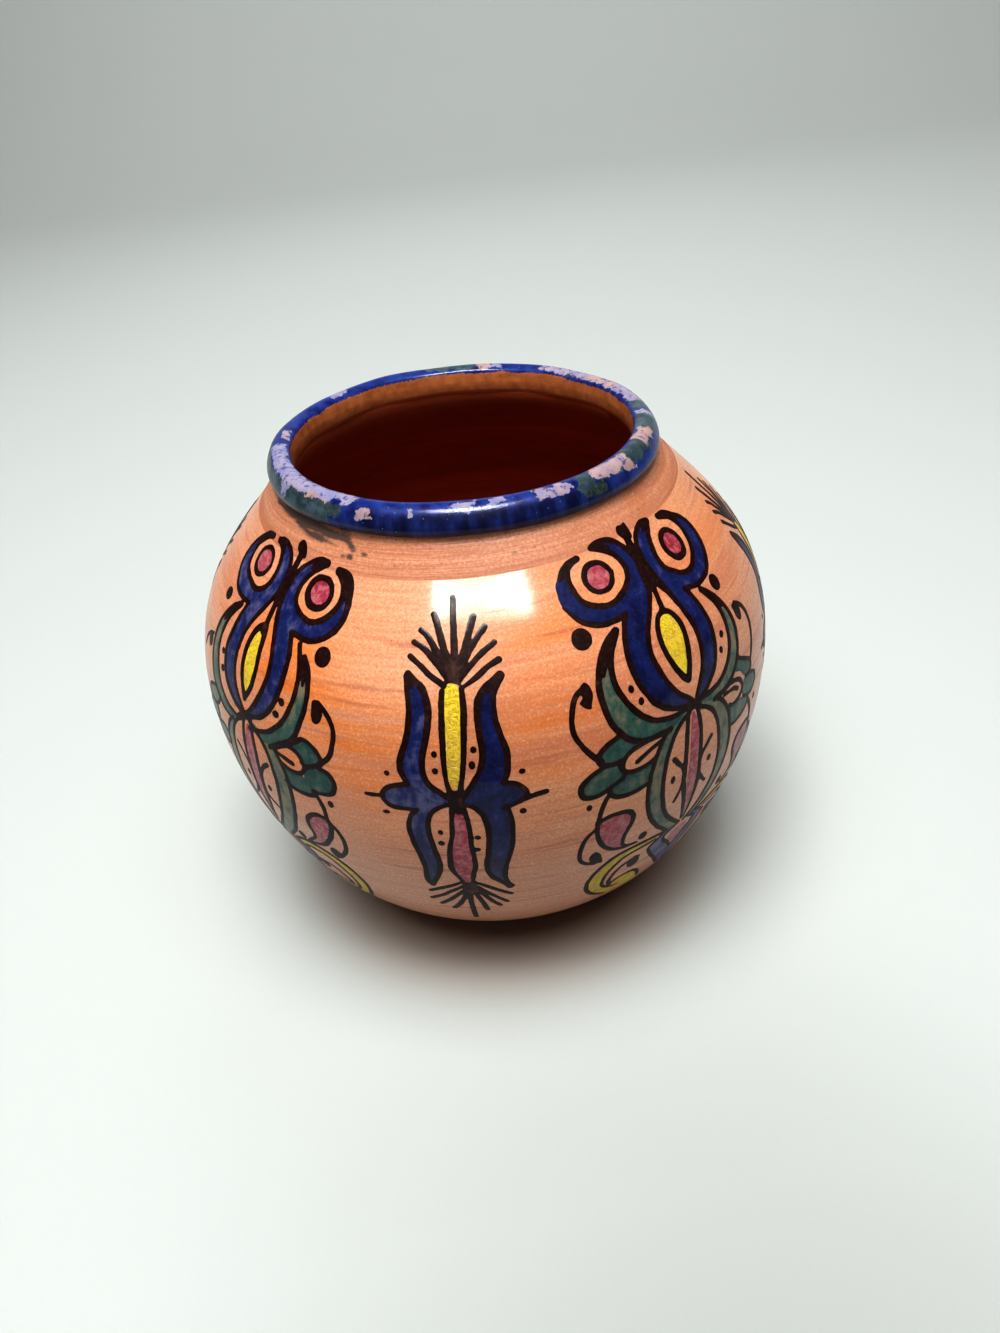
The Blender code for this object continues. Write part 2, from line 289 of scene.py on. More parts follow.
# ------------------------------------------------------------------ the drawing of each motif
# Fills are (colour, tone at the top and bottom, outline); lines are (widths in mm, points);
# dots are (place, half sizes in mm). Points are azimuth and latitude in degrees.
SMALL_FRONT = [
    ("fill", "blue", (0.15, 0.75), [(-15.5, 27.1), (-15.3, 25.1), (-15.0, 23.0), (-14.9, 20.2), (-15.3, 17.5), (-15.9, 15.6), (-16.7, 13.4), (-16.9, 11.3), (-16.1, 9.3), (-14.9, 8.1), (-13.4, 6.5), (-11.5, 5.1), (-8.6, 5.0), (-8.9, 5.7), (-10.5, 7.1), (-12.0, 8.4), (-12.8, 9.8), (-13.1, 11.8), (-12.9, 13.9), (-12.3, 16.3), (-11.7, 19.0), (-11.5, 21.4), (-11.8, 23.4), (-12.5, 25.1), (-13.8, 26.2), (-15.1, 27.4)]),
    ("line", (0.5, 0.95, 1.15, 1.0), [(-15.5, 27.1), (-15.3, 25.1), (-15.0, 23.0), (-14.9, 20.2), (-15.3, 17.5), (-15.9, 15.6), (-16.7, 13.4), (-16.9, 11.3), (-16.1, 9.3)]),
    ("line", (1.2, 1.3, 1.0, 1.2), [(-15.1, 27.4), (-13.8, 26.2), (-12.5, 25.1), (-11.8, 23.4), (-11.5, 21.4), (-11.7, 19.0), (-12.3, 16.3), (-12.9, 13.9), (-13.1, 11.8), (-12.8, 9.8), (-12.0, 8.4), (-10.5, 7.1), (-8.9, 5.7)]),
    ("fill", "blue", (0.45, 0.55), [(-15.9, 8.6), (-17.7, 8.3), (-19.3, 7.8), (-20.4, 6.8), (-20.7, 5.8), (-20.3, 4.7), (-19.3, 3.9), (-17.7, 3.6), (-15.9, 3.5), (-13.7, 3.6), (-11.5, 4.5), (-12.7, 6.2), (-14.4, 7.9)]),
    ("line", (1.0, 0.9, 1.0, 0.8), [(-15.9, 8.6), (-17.7, 8.3), (-19.3, 7.8), (-20.4, 6.8), (-20.7, 5.8), (-20.3, 4.7), (-19.3, 3.9), (-17.7, 3.6), (-15.9, 3.5)]),
    ("line", (0.5, 0.9, 0.7, 0.9), [(-23.7, 5.8), (-22.1, 5.8), (-20.6, 6.0)]),
    ("fill", "blue", (0.05, 0.25), [(1.5, 26.7), (0.1, 25.8), (-1.5, 24.7), (-2.6, 23.2), (-3.0, 21.4), (-3.1, 19.0), (-3.0, 16.6), (-2.9, 14.6), (-3.1, 12.7), (-3.8, 10.8), (-5.0, 8.9), (-6.3, 6.9), (-7.3, 5.4), (-6.2, 4.8), (-3.6, 4.5), (-0.9, 5.5), (-0.3, 7.2), (-0.1, 8.4), (0.6, 9.8), (1.0, 11.8), (1.1, 14.2), (0.5, 16.6), (0.0, 19.0), (-0.1, 21.4), (0.1, 23.4), (0.8, 24.9), (1.9, 26.3)]),
    ("line", (0.8, 1.2, 1.0, 0.9), [(1.5, 26.7), (0.1, 25.8), (-1.5, 24.7), (-2.6, 23.2), (-3.0, 21.4), (-3.1, 19.0), (-3.0, 16.6), (-2.9, 14.6), (-3.1, 12.7), (-3.8, 10.8), (-5.0, 8.9), (-6.3, 6.9), (-7.3, 5.4)]),
    ("line", (0.9, 0.7, 1.1, 0.9), [(1.9, 26.3), (0.8, 24.9), (0.1, 23.4), (-0.1, 21.4), (0.0, 19.0), (0.5, 16.6), (1.1, 14.2), (1.0, 11.8), (0.6, 9.8), (-0.1, 8.4)]),
    ("line", (1.5, 1.3, 0.9, 0.6), [(1.6, 26.4), (0.8, 25.6), (-0.3, 24.6), (-1.2, 24.0)]),
    ("line", (1.3, 1.0, 0.8, 0.5), [(-15.3, 26.9), (-15.1, 26.1), (-14.4, 25.2)]),
    ("fill", "blue", (0.05, 0.1), [(0.0, 8.3), (1.5, 8.2), (2.7, 7.4), (3.5, 6.2), (3.3, 5.1), (2.2, 4.4), (0.5, 3.7), (-0.6, 3.3), (-2.8, 3.6), (-4.8, 4.5), (-3.6, 6.5), (-1.6, 7.7)]),
    ("line", (0.9, 1.0, 1.0, 0.7), [(0.0, 8.3), (1.5, 8.2), (2.7, 7.4), (3.5, 6.2), (3.3, 5.1), (2.2, 4.4), (0.5, 3.7), (-0.6, 3.3)]),
    ("line", (0.7, 0.9, 1.0, 0.9), [(3.4, 4.7), (4.8, 5.2), (6.8, 5.5)]),
    ("fill", "blue", (0.6, 0.35), [(-15.0, 3.5), (-16.2, 2.1), (-16.9, -0.3), (-16.8, -3.2), (-16.4, -6.3), (-16.0, -8.9), (-15.9, -11.5), (-16.2, -14.1), (-16.3, -16.2), (-15.8, -17.7), (-15.8, -17.7), (-15.2, -16.6), (-14.3, -14.7), (-13.5, -12.6), (-13.0, -10.2), (-13.1, -7.6), (-13.4, -5.0), (-13.6, -1.9), (-13.4, 1.0), (-12.4, 3.1), (-10.8, 4.3), (-9.0, 4.9), (-11.5, 5.5), (-13.6, 4.9)]),
    ("line", (0.8, 0.9, 1.0, 1.0), [(-15.0, 3.5), (-16.2, 2.1), (-16.9, -0.3), (-16.8, -3.2), (-16.4, -6.3), (-16.0, -8.9), (-15.9, -11.5), (-16.2, -14.1), (-16.3, -16.2), (-15.8, -17.7)]),
    ("line", (0.8, 1.0, 1.1, 0.8), [(-9.0, 4.9), (-10.8, 4.3), (-12.4, 3.1), (-13.4, 1.0), (-13.6, -1.9), (-13.4, -5.0), (-13.1, -7.6), (-13.0, -10.2), (-13.5, -12.6), (-14.3, -14.7), (-15.2, -16.6), (-15.8, -17.7)]),
    ("fill", "blue", (0.15, 0.4), [(-7.0, 4.8), (-5.5, 4.1), (-4.2, 2.5), (-3.6, 0.2), (-3.5, -2.4), (-3.7, -5.0), (-4.1, -7.6), (-4.6, -10.2), (-4.6, -12.6), (-4.0, -14.7), (-2.9, -16.2), (-1.9, -17.5), (-1.1, -19.0), (-0.8, -18.8), (-0.6, -18.6), (-1.1, -17.7), (-1.6, -16.0), (-1.7, -14.1), (-1.3, -11.5), (-0.6, -8.9), (0.1, -6.3), (0.5, -3.2), (0.7, -0.3), (0.5, 2.0), (-0.1, 3.8), (-2.1, 4.9), (-4.7, 5.4)]),
    ("line", (0.8, 1.0, 1.0, 1.1), [(-7.0, 4.8), (-5.5, 4.1), (-4.2, 2.5), (-3.6, 0.2), (-3.5, -2.4), (-3.7, -5.0), (-4.1, -7.6), (-4.6, -10.2), (-4.6, -12.6), (-4.0, -14.7), (-2.9, -16.2), (-1.9, -17.5), (-1.1, -19.0)]),
    ("line", (0.7, 0.8, 0.9, 0.9), [(-0.1, 3.8), (0.5, 2.0), (0.7, -0.3), (0.5, -3.2), (0.1, -6.3), (-0.6, -8.9), (-1.3, -11.5), (-1.7, -14.1), (-1.6, -16.0), (-1.1, -17.7), (-0.6, -18.6)]),
    ("fill", "yellow", (0.1, 0.75), [(-8.5, 25.3), (-7.8, 25.7), (-6.9, 25.7), (-6.2, 25.3), (-5.8, 23.8), (-5.7, 21.8), (-5.9, 19.4), (-6.2, 16.6), (-6.4, 13.7), (-6.7, 10.5), (-7.3, 8.4), (-8.0, 8.0), (-8.6, 8.6), (-9.0, 10.5), (-9.2, 13.7), (-9.0, 17.8), (-8.7, 20.6), (-8.5, 23.0)]),
    ("line", (0.8, 1.1, 0.75, 1.3), [(-8.9, 24.6), (-9.1, 22.6), (-9.2, 20.2), (-9.3, 16.6), (-9.4, 11.8), (-9.3, 9.3), (-8.9, 7.2), (-8.4, 5.5)]),
    ("line", (0.9, 1.1, 0.75, 1.2), [(-5.4, 24.9), (-5.3, 22.6), (-5.4, 20.2), (-5.7, 17.0), (-6.1, 13.4), (-6.6, 10.3), (-7.1, 7.9), (-7.7, 5.5)]),
    ("line", (1.5, 1.7, 1.6, 1.4), [(-8.1, 6.9), (-8.0, 5.5), (-8.0, 4.5), (-7.9, 3.3)]),
    ("line", (1.3, 1.25, 1.1, 0.9), [(-6.4, 28.6), (-6.3, 32.9), (-6.3, 37.0), (-6.2, 39.8)]),
    ("line", (1.2, 1.25, 1.2, 1.2), [(-7.4, 28.6), (-8.6, 32.2), (-9.5, 35.1), (-10.3, 37.1)]),
    ("line", (1.2, 1.1, 1.0, 1.0), [(-8.0, 28.6), (-10.1, 31.5), (-11.5, 33.4), (-12.9, 34.5)]),
    ("line", (0.9, 1.05, 1.0, 1.0), [(-8.0, 26.9), (-10.2, 29.5), (-12.2, 31.5), (-14.2, 32.5)]),
    ("line", (0.9, 0.95, 0.9, 1.0), [(-8.5, 25.5), (-10.9, 27.1), (-12.9, 28.8), (-14.8, 30.2)]),
    ("line", (1.2, 1.2, 1.2, 1.2), [(-5.5, 28.6), (-4.0, 31.9), (-3.1, 34.3), (-2.2, 36.3)]),
    ("line", (1.1, 1.1, 1.1, 1.1), [(-5.0, 28.6), (-3.1, 31.3), (-1.6, 33.0), (-0.1, 34.5)]),
    ("line", (0.6, 0.9, 1.0, 1.0), [(-5.5, 26.2), (-3.1, 28.8), (-0.9, 30.4), (1.4, 31.8)]),
    ("line", (0.6, 0.9, 0.95, 1.1), [(-5.0, 25.2), (-2.6, 26.5), (-0.4, 28.0), (1.8, 28.9)]),
    ("fill", "dark", (0.6, 0.6), [(-8.9, 29.8), (-6.7, 30.0), (-4.0, 29.8), (-4.4, 28.3), (-5.1, 27.1), (-5.5, 26.1), (-5.3, 25.1), (-6.2, 25.6), (-7.4, 25.9), (-8.4, 25.6), (-8.3, 26.4), (-8.6, 28.1)]),
    ("fill", "magenta", (0.5, 0.5), [(-8.1, 4.1), (-9.0, 2.5), (-9.4, 0.2), (-9.7, -2.4), (-10.3, -5.0), (-10.7, -7.6), (-11.0, -10.5), (-10.8, -12.8), (-10.2, -14.4), (-9.6, -16.1), (-8.8, -16.6), (-7.9, -16.2), (-7.5, -14.7), (-7.1, -12.8), (-6.7, -10.8), (-6.5, -8.1), (-6.7, -5.0), (-6.6, -2.4), (-6.7, 0.7), (-7.1, 2.8)]),
    ("line", (0.9, 0.8, 1.1, 0.6), [(-8.9, 4.6), (-9.4, 0.7), (-9.7, -2.4), (-10.4, -5.0), (-10.8, -7.6), (-11.1, -10.8), (-10.8, -12.8), (-10.2, -14.5), (-9.7, -16.1)]),
    ("line", (0.9, 0.8, 0.95, 0.6), [(-7.2, 4.6), (-6.7, 1.2), (-6.6, -2.4), (-6.7, -5.0), (-6.6, -8.1), (-6.7, -10.8), (-7.2, -12.8), (-7.6, -14.7), (-7.8, -16.2)]),
    ("line", (1.4, 1.3, 1.0, 0.5), [(-8.2, 6.4), (-8.2, 4.9), (-8.6, 3.6)]),
    ("line", (1.2, 1.1, 1.05, 1.0), [(-8.9, -19.3), (-9.3, -23.2), (-9.6, -28.5), (-9.9, -34.6)]),
    ("line", (0.6, 0.9, 0.9, 0.9), [(-9.8, -16.2), (-12.0, -17.7), (-14.1, -18.8), (-16.7, -20.3)]),
    ("line", (0.8, 0.9, 0.9, 0.9), [(-9.7, -17.7), (-12.3, -19.9), (-14.6, -21.9), (-17.3, -23.8)]),
    ("line", (0.9, 0.95, 0.95, 0.9), [(-9.5, -19.1), (-11.8, -21.9), (-13.8, -24.3), (-15.9, -26.4)]),
    ("line", (0.9, 1.0, 1.05, 0.95), [(-9.4, -20.1), (-10.7, -23.5), (-12.0, -26.1), (-13.6, -28.5)]),
    ("line", (0.9, 1.0, 1.05, 1.0), [(-8.0, -20.4), (-7.4, -23.5), (-6.9, -26.6), (-6.6, -29.5)]),
    ("line", (0.9, 1.0, 0.95, 0.95), [(-7.3, -19.6), (-6.0, -22.5), (-4.9, -25.1), (-3.7, -27.2)]),
    ("line", (0.9, 0.95, 0.9, 0.85), [(-7.2, -18.3), (-5.5, -20.9), (-3.8, -23.2), (-2.0, -25.5)]),
    ("line", (0.6, 0.9, 0.95, 0.9), [(-7.6, -16.3), (-5.5, -18.0), (-3.4, -20.0), (-1.1, -21.9)]),
    ("fill", "dark", (0.7, 0.7), [(-9.8, -16.6), (-8.6, -16.3), (-7.5, -16.6), (-7.1, -18.3), (-6.9, -19.9), (-7.9, -20.9), (-8.6, -21.2), (-9.4, -20.9), (-10.1, -19.6), (-10.0, -18.0)]),
    ("dot", (-19.4, 10.5), (0.5, 0.52)),
    ("dot", (-10.9, 14.3), (0.48, 0.62)),
    ("dot", (-11.0, 11.3), (0.5, 0.55)),
    ("dot", (-4.3, 14.9), (0.52, 0.58)),
    ("dot", (-4.8, 12.2), (0.52, 0.75)),
    ("dot", (3.2, 10.2), (0.55, 0.5)),
    ("dot", (-11.6, -1.5), (0.45, 0.6)),
    ("dot", (-11.8, -4.2), (0.6, 0.62)),
    ("dot", (-5.4, -2.9), (0.55, 0.5)),
    ("dot", (-5.8, -6.0), (0.55, 0.5)),
    ("dot", (2.6, 2.2), (0.62, 0.6)),
    ("dot", (-20.5, 2.4), (0.7, 0.4)),
]
LARGE_RIGHT = [
    ("fill", "blue", (0.35, 0.1), [(23.3, 42.3), (21.5, 42.1), (19.7, 41.5), (17.9, 40.4), (16.3, 38.9), (16.0, 37.1), (16.2, 35.3), (17.1, 33.8), (18.9, 32.0), (20.9, 30.9), (23.5, 30.3), (26.1, 30.3), (28.4, 30.6), (27.1, 28.8), (26.1, 26.9), (25.5, 24.3), (25.4, 22.0), (25.9, 19.4), (26.9, 17.1), (28.2, 14.9), (30.0, 13.3), (32.4, 12.1), (35.0, 11.4), (36.6, 11.1), (35.6, 12.5), (33.7, 14.1), (31.8, 16.9), (30.7, 19.7), (30.2, 22.0), (30.4, 24.3), (31.4, 26.6), (33.1, 28.6), (34.7, 30.6), (35.8, 32.0), (36.3, 34.0), (36.8, 36.1), (37.2, 38.3), (36.7, 40.1), (35.1, 42.1), (33.4, 43.2), (31.7, 43.6), (29.4, 43.6), (27.8, 43.1), (29.8, 42.3), (31.5, 41.5), (32.8, 40.3), (33.5, 38.9), (33.6, 37.5), (32.8, 35.9), (31.1, 34.6), (29.1, 33.7), (26.8, 33.0), (24.5, 33.2), (22.2, 34.0), (20.6, 35.2), (19.8, 36.8), (19.5, 38.8), (19.8, 40.3), (20.6, 41.3), (21.9, 41.9)]),
    ("line", (0.9, 1.3, 1.3, 0.9), [(23.4, 42.3), (21.5, 42.0), (19.9, 41.4), (18.6, 40.6), (17.6, 39.7)]),
    ("line", (0.3, 0.9, 1.0, 1.0), [(16.3, 35.0), (17.3, 33.8), (18.9, 32.0), (20.9, 30.9), (23.5, 30.3), (26.1, 30.3), (28.4, 30.6)]),
    ("line", (1.0, 1.0, 1.05, 0.9), [(28.4, 30.6), (27.1, 28.8), (26.1, 26.9), (25.5, 24.3), (25.4, 22.0), (25.9, 19.4), (26.9, 17.1), (28.2, 14.9), (30.0, 13.3), (32.4, 12.1), (35.0, 11.4), (36.6, 11.1)]),
    ("line", (0.9, 1.0, 1.05, 1.1), [(36.6, 11.3), (35.6, 12.5), (33.7, 14.1), (31.8, 16.9), (30.7, 19.7), (30.2, 22.0), (30.4, 24.3), (31.4, 26.6), (33.1, 28.6), (34.7, 30.6), (35.8, 32.0), (36.3, 34.0), (36.8, 36.1), (37.2, 38.3), (36.7, 40.1), (35.1, 42.1), (33.4, 43.2), (31.7, 43.6), (29.4, 43.6), (27.8, 43.2)]),
    ("line", (1.0, 1.05, 1.1, 1.1), [(27.8, 43.1), (29.8, 42.3), (31.5, 41.5), (32.8, 40.3), (33.5, 38.9), (33.6, 37.5), (32.8, 35.9), (31.1, 34.6), (29.1, 33.7), (26.8, 33.0), (24.5, 33.2), (22.2, 34.0), (20.6, 35.2), (19.8, 36.8), (19.5, 38.8), (19.8, 40.3), (20.6, 41.3), (21.9, 41.9), (23.3, 42.3)]),
    ("line", (1.1, 1.3, 0.9, 0.4), [(27.9, 43.1), (29.4, 43.1), (31.1, 42.7), (32.4, 42.1)]),
    ("fill", "blue", (0.45, 0.2), [(37.3, 11.4), (37.7, 12.3), (39.0, 14.1), (40.4, 16.1), (41.3, 18.4), (41.8, 20.7), (41.9, 23.3), (41.4, 25.9), (40.7, 28.6), (40.0, 31.5), (39.4, 33.5), (39.2, 35.8), (39.3, 38.1), (39.8, 40.0), (40.9, 41.4), (42.6, 42.5), (44.9, 43.1), (47.1, 42.8), (45.8, 41.6), (44.4, 40.1), (43.3, 38.1), (42.7, 36.1), (43.1, 34.2), (44.6, 32.9), (46.5, 31.7), (48.8, 31.2), (51.1, 31.7), (53.4, 33.1), (55.0, 34.8), (55.9, 36.7), (56.1, 38.4), (55.6, 39.7), (54.4, 40.9), (51.5, 42.0), (53.1, 42.1), (55.1, 41.5), (57.4, 40.0), (59.0, 38.7), (59.7, 36.8), (59.4, 34.8), (58.1, 32.5), (56.1, 30.6), (53.8, 29.1), (51.1, 28.5), (48.3, 28.4), (46.0, 28.9), (44.5, 29.2), (45.3, 27.3), (45.9, 24.6), (46.1, 22.0), (45.6, 19.0), (44.6, 16.4), (43.2, 14.4), (41.3, 12.8), (39.3, 11.6), (37.5, 11.1)]),
    ("line", (0.9, 1.1, 1.1, 1.0), [(37.3, 11.4), (37.7, 12.3), (39.0, 14.1), (40.4, 16.1), (41.3, 18.4), (41.8, 20.7), (41.9, 23.3), (41.4, 25.9), (40.7, 28.6), (40.0, 31.5), (39.4, 33.5)]),
    ("line", (1.0, 0.9, 0.9, 1.3), [(39.4, 33.5), (39.2, 35.8), (39.3, 38.1), (39.8, 40.0), (40.9, 41.4), (42.6, 42.5), (44.9, 43.1), (47.1, 42.8)]),
    ("line", (1.2, 1.05, 1.1, 1.1), [(47.1, 42.7), (45.8, 41.6), (44.4, 40.1), (43.3, 38.1), (42.7, 36.1), (43.1, 34.2), (44.6, 32.9), (46.5, 31.7), (48.8, 31.2), (51.1, 31.7), (53.4, 33.1), (55.0, 34.8), (55.9, 36.7), (56.1, 38.4), (55.6, 39.7), (54.4, 40.9), (51.5, 42.0)]),
    ("line", (1.2, 1.1, 1.0, 1.0), [(51.5, 42.1), (53.1, 42.1), (55.1, 41.5), (57.4, 40.0), (59.0, 38.7), (59.7, 36.8), (59.4, 34.8), (58.1, 32.5), (56.1, 30.6), (53.8, 29.1), (51.1, 28.5), (48.3, 28.4), (46.0, 28.9), (44.5, 29.2)]),
    ("line", (0.9, 1.0, 1.0, 0.9), [(44.5, 29.2), (45.3, 27.3), (45.9, 24.6), (46.1, 22.0), (45.6, 19.0), (44.6, 16.4), (43.2, 14.4), (41.3, 12.8), (39.3, 11.6), (37.5, 11.1)]),
    ("line", (1.1, 1.3, 1.0, 0.4), [(47.1, 42.7), (45.9, 42.5), (44.7, 42.1), (43.7, 41.4)]),
    ("line", (1.1, 1.2, 1.2, 0.5), [(51.5, 42.1), (53.4, 41.6), (55.4, 40.6), (57.1, 39.4)]),
    ("fill", "magenta", (0.7, 0.7), [(29.8, 38.1), (29.1, 36.8), (28.0, 35.8), (26.3, 35.5), (24.7, 35.8), (23.6, 36.8), (23.1, 38.1), (23.6, 39.3), (24.7, 40.3), (26.3, 40.6), (28.0, 40.3), (29.1, 39.3)]),
    ("line", (1.0, 0.9, 1.15, 0.9), [(29.9, 38.1), (29.2, 36.8), (28.0, 35.8), (26.3, 35.5), (24.7, 35.8), (23.5, 36.8), (23.1, 38.1), (23.5, 39.3), (24.7, 40.3), (26.3, 40.6), (28.0, 40.3), (29.2, 39.3), (29.9, 38.1)]),
    ("fill", "magenta", (0.3, 0.3), [(52.8, 36.7), (52.3, 35.3), (51.2, 34.3), (49.6, 33.9), (48.1, 34.3), (46.9, 35.3), (46.5, 36.7), (46.9, 38.2), (48.1, 39.2), (49.6, 39.6), (51.2, 39.2), (52.3, 38.2)]),
    ("line", (1.1, 1.3, 1.2, 1.1), [(52.7, 36.7), (52.3, 35.4), (51.2, 34.3), (49.6, 34.0), (48.1, 34.3), (47.0, 35.4), (46.6, 36.7), (47.0, 38.1), (48.1, 39.1), (49.6, 39.5), (51.2, 39.1), (52.3, 38.1), (52.7, 36.7)]),
    ("fill", "dark", (0.2, 0.2), [(36.7, 44.1), (37.7, 44.8), (38.8, 44.7), (40.2, 44.8), (40.4, 43.4), (40.0, 41.9), (38.7, 41.6), (37.7, 41.8), (36.6, 43.3)]),
    ("line", (1.5, 1.6, 1.5, 1.6), [(38.3, 42.1), (38.1, 39.8), (37.9, 37.1), (37.8, 34.5)]),
    ("line", (2.2, 2.4, 2.0, 1.2), [(37.9, 38.4), (37.8, 36.5), (37.7, 34.8), (37.6, 33.2)]),
    ("line", (1.3, 1.1, 1.0, 1.1), [(37.7, 34.2), (37.3, 31.9), (36.9, 29.9), (36.6, 28.2)]),
    ("line", (1.4, 1.3, 1.1, 0.9), [(38.3, 34.5), (39.0, 32.5), (40.0, 30.6), (40.6, 28.7)]),
    ("fill", "yellow", (0.2, 0.45), [(35.9, 28.1), (37.5, 27.4), (38.5, 25.9), (38.7, 24.0), (38.5, 21.7), (37.8, 19.7), (37.3, 17.7), (36.3, 16.2), (35.4, 16.9), (34.5, 18.7), (33.8, 20.7), (33.4, 23.3), (33.6, 25.5), (34.6, 27.3)]),
    ("line", (0.9, 1.0, 1.1, 1.3), [(36.3, 28.3), (34.7, 27.6), (33.5, 25.8), (33.1, 23.3), (33.5, 20.7), (34.4, 18.3), (35.4, 16.6), (36.3, 15.8)]),
    ("line", (0.9, 1.1, 1.2, 1.3), [(36.3, 28.3), (37.9, 27.5), (38.8, 25.9), (39.1, 24.3), (38.8, 22.3), (38.1, 19.7), (37.3, 17.6), (36.4, 15.8)]),
    ("dot", (17.9, 29.2), (1.9, 1.95)),
    ("dot", (53.5, 26.4), (1.5, 1.65)),
    ("dot", (24.2, 18.9), (0.55, 0.7)),
    ("dot", (25.6, 16.3), (0.58, 0.75)),
    ("dot", (48.0, 18.6), (0.65, 0.72)),
    ("dot", (46.5, 16.3), (0.55, 0.7)),
    ("fill", "green", (0.85, 0.15), [(25.1, 28.6), (23.6, 26.9), (22.3, 25.0), (21.5, 22.7), (21.5, 20.4), (22.3, 18.1), (23.6, 15.8), (25.2, 13.8), (27.2, 12.2), (29.5, 11.3), (32.1, 10.9), (35.2, 11.1), (36.2, 10.8), (33.1, 9.6), (31.4, 8.7), (29.9, 9.0), (26.9, 9.0), (24.2, 9.5), (21.9, 10.8), (20.3, 12.8), (19.1, 15.1), (18.5, 18.1), (18.4, 20.7), (19.0, 23.0), (20.3, 25.3), (22.2, 27.4), (24.8, 28.8)]),
    ("line", (1.0, 1.1, 1.05, 0.9), [(25.1, 28.6), (23.6, 26.9), (22.3, 25.0), (21.5, 22.7), (21.5, 20.4), (22.3, 18.1), (23.6, 15.8), (25.2, 13.8), (27.2, 12.2), (29.5, 11.3), (32.1, 10.9), (35.2, 11.1)]),
    ("line", (1.0, 1.15, 1.1, 0.9), [(24.8, 28.8), (22.2, 27.4), (20.3, 25.3), (19.0, 23.0), (18.4, 20.7), (18.5, 18.1), (19.1, 15.1), (20.3, 12.8), (21.9, 10.8), (24.2, 9.5), (26.9, 9.0), (29.9, 9.0)]),
    ("line", (1.3, 2.0, 1.8, 0.5), [(25.0, 28.7), (22.9, 27.3), (21.3, 25.6), (20.2, 23.8), (19.8, 22.5)]),
    ("fill", "green", (0.9, 0.55), [(48.4, 27.3), (49.3, 25.6), (50.2, 23.8), (50.6, 21.8), (50.4, 19.0), (49.7, 16.4), (48.2, 14.1), (46.3, 12.5), (44.0, 11.4), (41.0, 11.0), (38.0, 11.0), (38.3, 10.1), (40.6, 9.1), (41.8, 9.0), (44.9, 9.1), (47.5, 9.8), (49.8, 11.2), (51.6, 13.4), (52.6, 15.7), (53.1, 18.3), (52.8, 20.9), (51.9, 23.2), (50.6, 25.3), (48.5, 27.4)]),
    ("line", (0.9, 1.0, 1.0, 0.9), [(48.4, 27.3), (49.3, 25.6), (50.2, 23.8), (50.6, 21.8), (50.4, 19.0), (49.7, 16.4), (48.2, 14.1), (46.3, 12.5), (44.0, 11.4), (41.0, 11.0), (38.0, 11.0)]),
    ("line", (0.9, 1.0, 1.0, 0.9), [(48.5, 27.4), (50.6, 25.3), (51.9, 23.2), (52.8, 20.9), (53.1, 18.3), (52.6, 15.7), (51.6, 13.4), (49.8, 11.2), (47.5, 9.8), (44.9, 9.1), (41.8, 9.0)]),
    ("line", (1.2, 1.6, 1.4, 0.4), [(48.4, 27.3), (49.8, 25.6), (51.0, 24.0), (51.5, 22.5)]),
    ("line", (0.9, 0.95, 0.9, 1.0), [(15.9, 21.8), (14.0, 20.7), (12.9, 18.5), (12.4, 16.1), (12.7, 14.1), (13.7, 12.1), (15.1, 10.0), (16.7, 8.4)]),
    ("fill", "dark", (0.15, 0.15), [(15.0, 21.7), (16.0, 22.5), (16.9, 21.7), (17.1, 20.4), (16.6, 19.0), (16.2, 18.0), (15.1, 18.6), (14.4, 19.4), (15.1, 20.2), (14.8, 21.0)]),
    ("line", (0.9, 0.9, 0.8, 0.7), [(55.9, 20.7), (57.6, 19.6), (58.8, 17.7), (59.2, 15.4), (58.8, 13.3), (57.8, 11.1), (56.4, 9.2)]),
    ("fill", "dark", (0.3, 0.3), [(54.5, 20.8), (55.9, 20.9), (57.0, 19.7), (56.8, 18.1), (55.8, 17.3), (54.8, 18.3), (54.6, 19.5)]),
    ("fill", "green", (0.05, 0.05), [(20.1, 11.8), (18.3, 11.2), (16.8, 10.2), (16.1, 9.1), (16.5, 7.9), (17.9, 7.2), (19.9, 7.1), (21.9, 7.8), (23.3, 8.9), (22.5, 10.4), (21.0, 11.5)]),
    ("line", (0.9, 1.0, 1.0, 0.8), [(20.1, 11.8), (18.3, 11.2), (16.8, 10.2), (16.1, 9.1), (16.5, 7.9), (17.9, 7.2), (19.9, 7.1)]),
    ("line", (0.9, 0.9, 1.0, 0.9), [(30.5, 8.9), (27.9, 9.1), (25.2, 8.9), (22.9, 8.6), (21.3, 7.8), (20.4, 6.5), (20.4, 5.1), (21.6, 4.3), (23.6, 4.1), (25.9, 4.5), (27.2, 5.1)]),
    ("fill", "green", (0.1, 0.3), [(23.3, 9.1), (25.8, 9.4), (28.4, 9.6), (30.8, 9.1), (27.8, 8.8), (25.2, 8.7), (22.9, 8.4), (21.5, 7.9), (20.6, 7.0), (19.9, 7.4), (21.9, 8.1)]),
    ("line", (0.6, 0.7, 0.85, 0.9), [(29.2, 7.9), (26.5, 7.2), (24.9, 6.6), (23.2, 5.8)]),
    ("fill", "green", (0.35, 0.05), [(17.5, 7.3), (15.4, 6.6), (13.7, 5.6), (12.7, 4.4), (12.6, 3.1), (13.2, 2.0), (14.7, 1.6), (16.3, 1.8), (18.3, 2.7), (20.3, 3.5), (20.6, 4.5), (20.1, 5.9), (19.9, 7.0)]),
    ("line", (0.8, 1.0, 1.0, 0.9), [(17.5, 7.3), (15.4, 6.6), (13.7, 5.6), (12.7, 4.4), (12.6, 3.1), (13.2, 2.0), (14.7, 1.6), (16.3, 1.8), (18.3, 2.7), (20.3, 3.5)]),
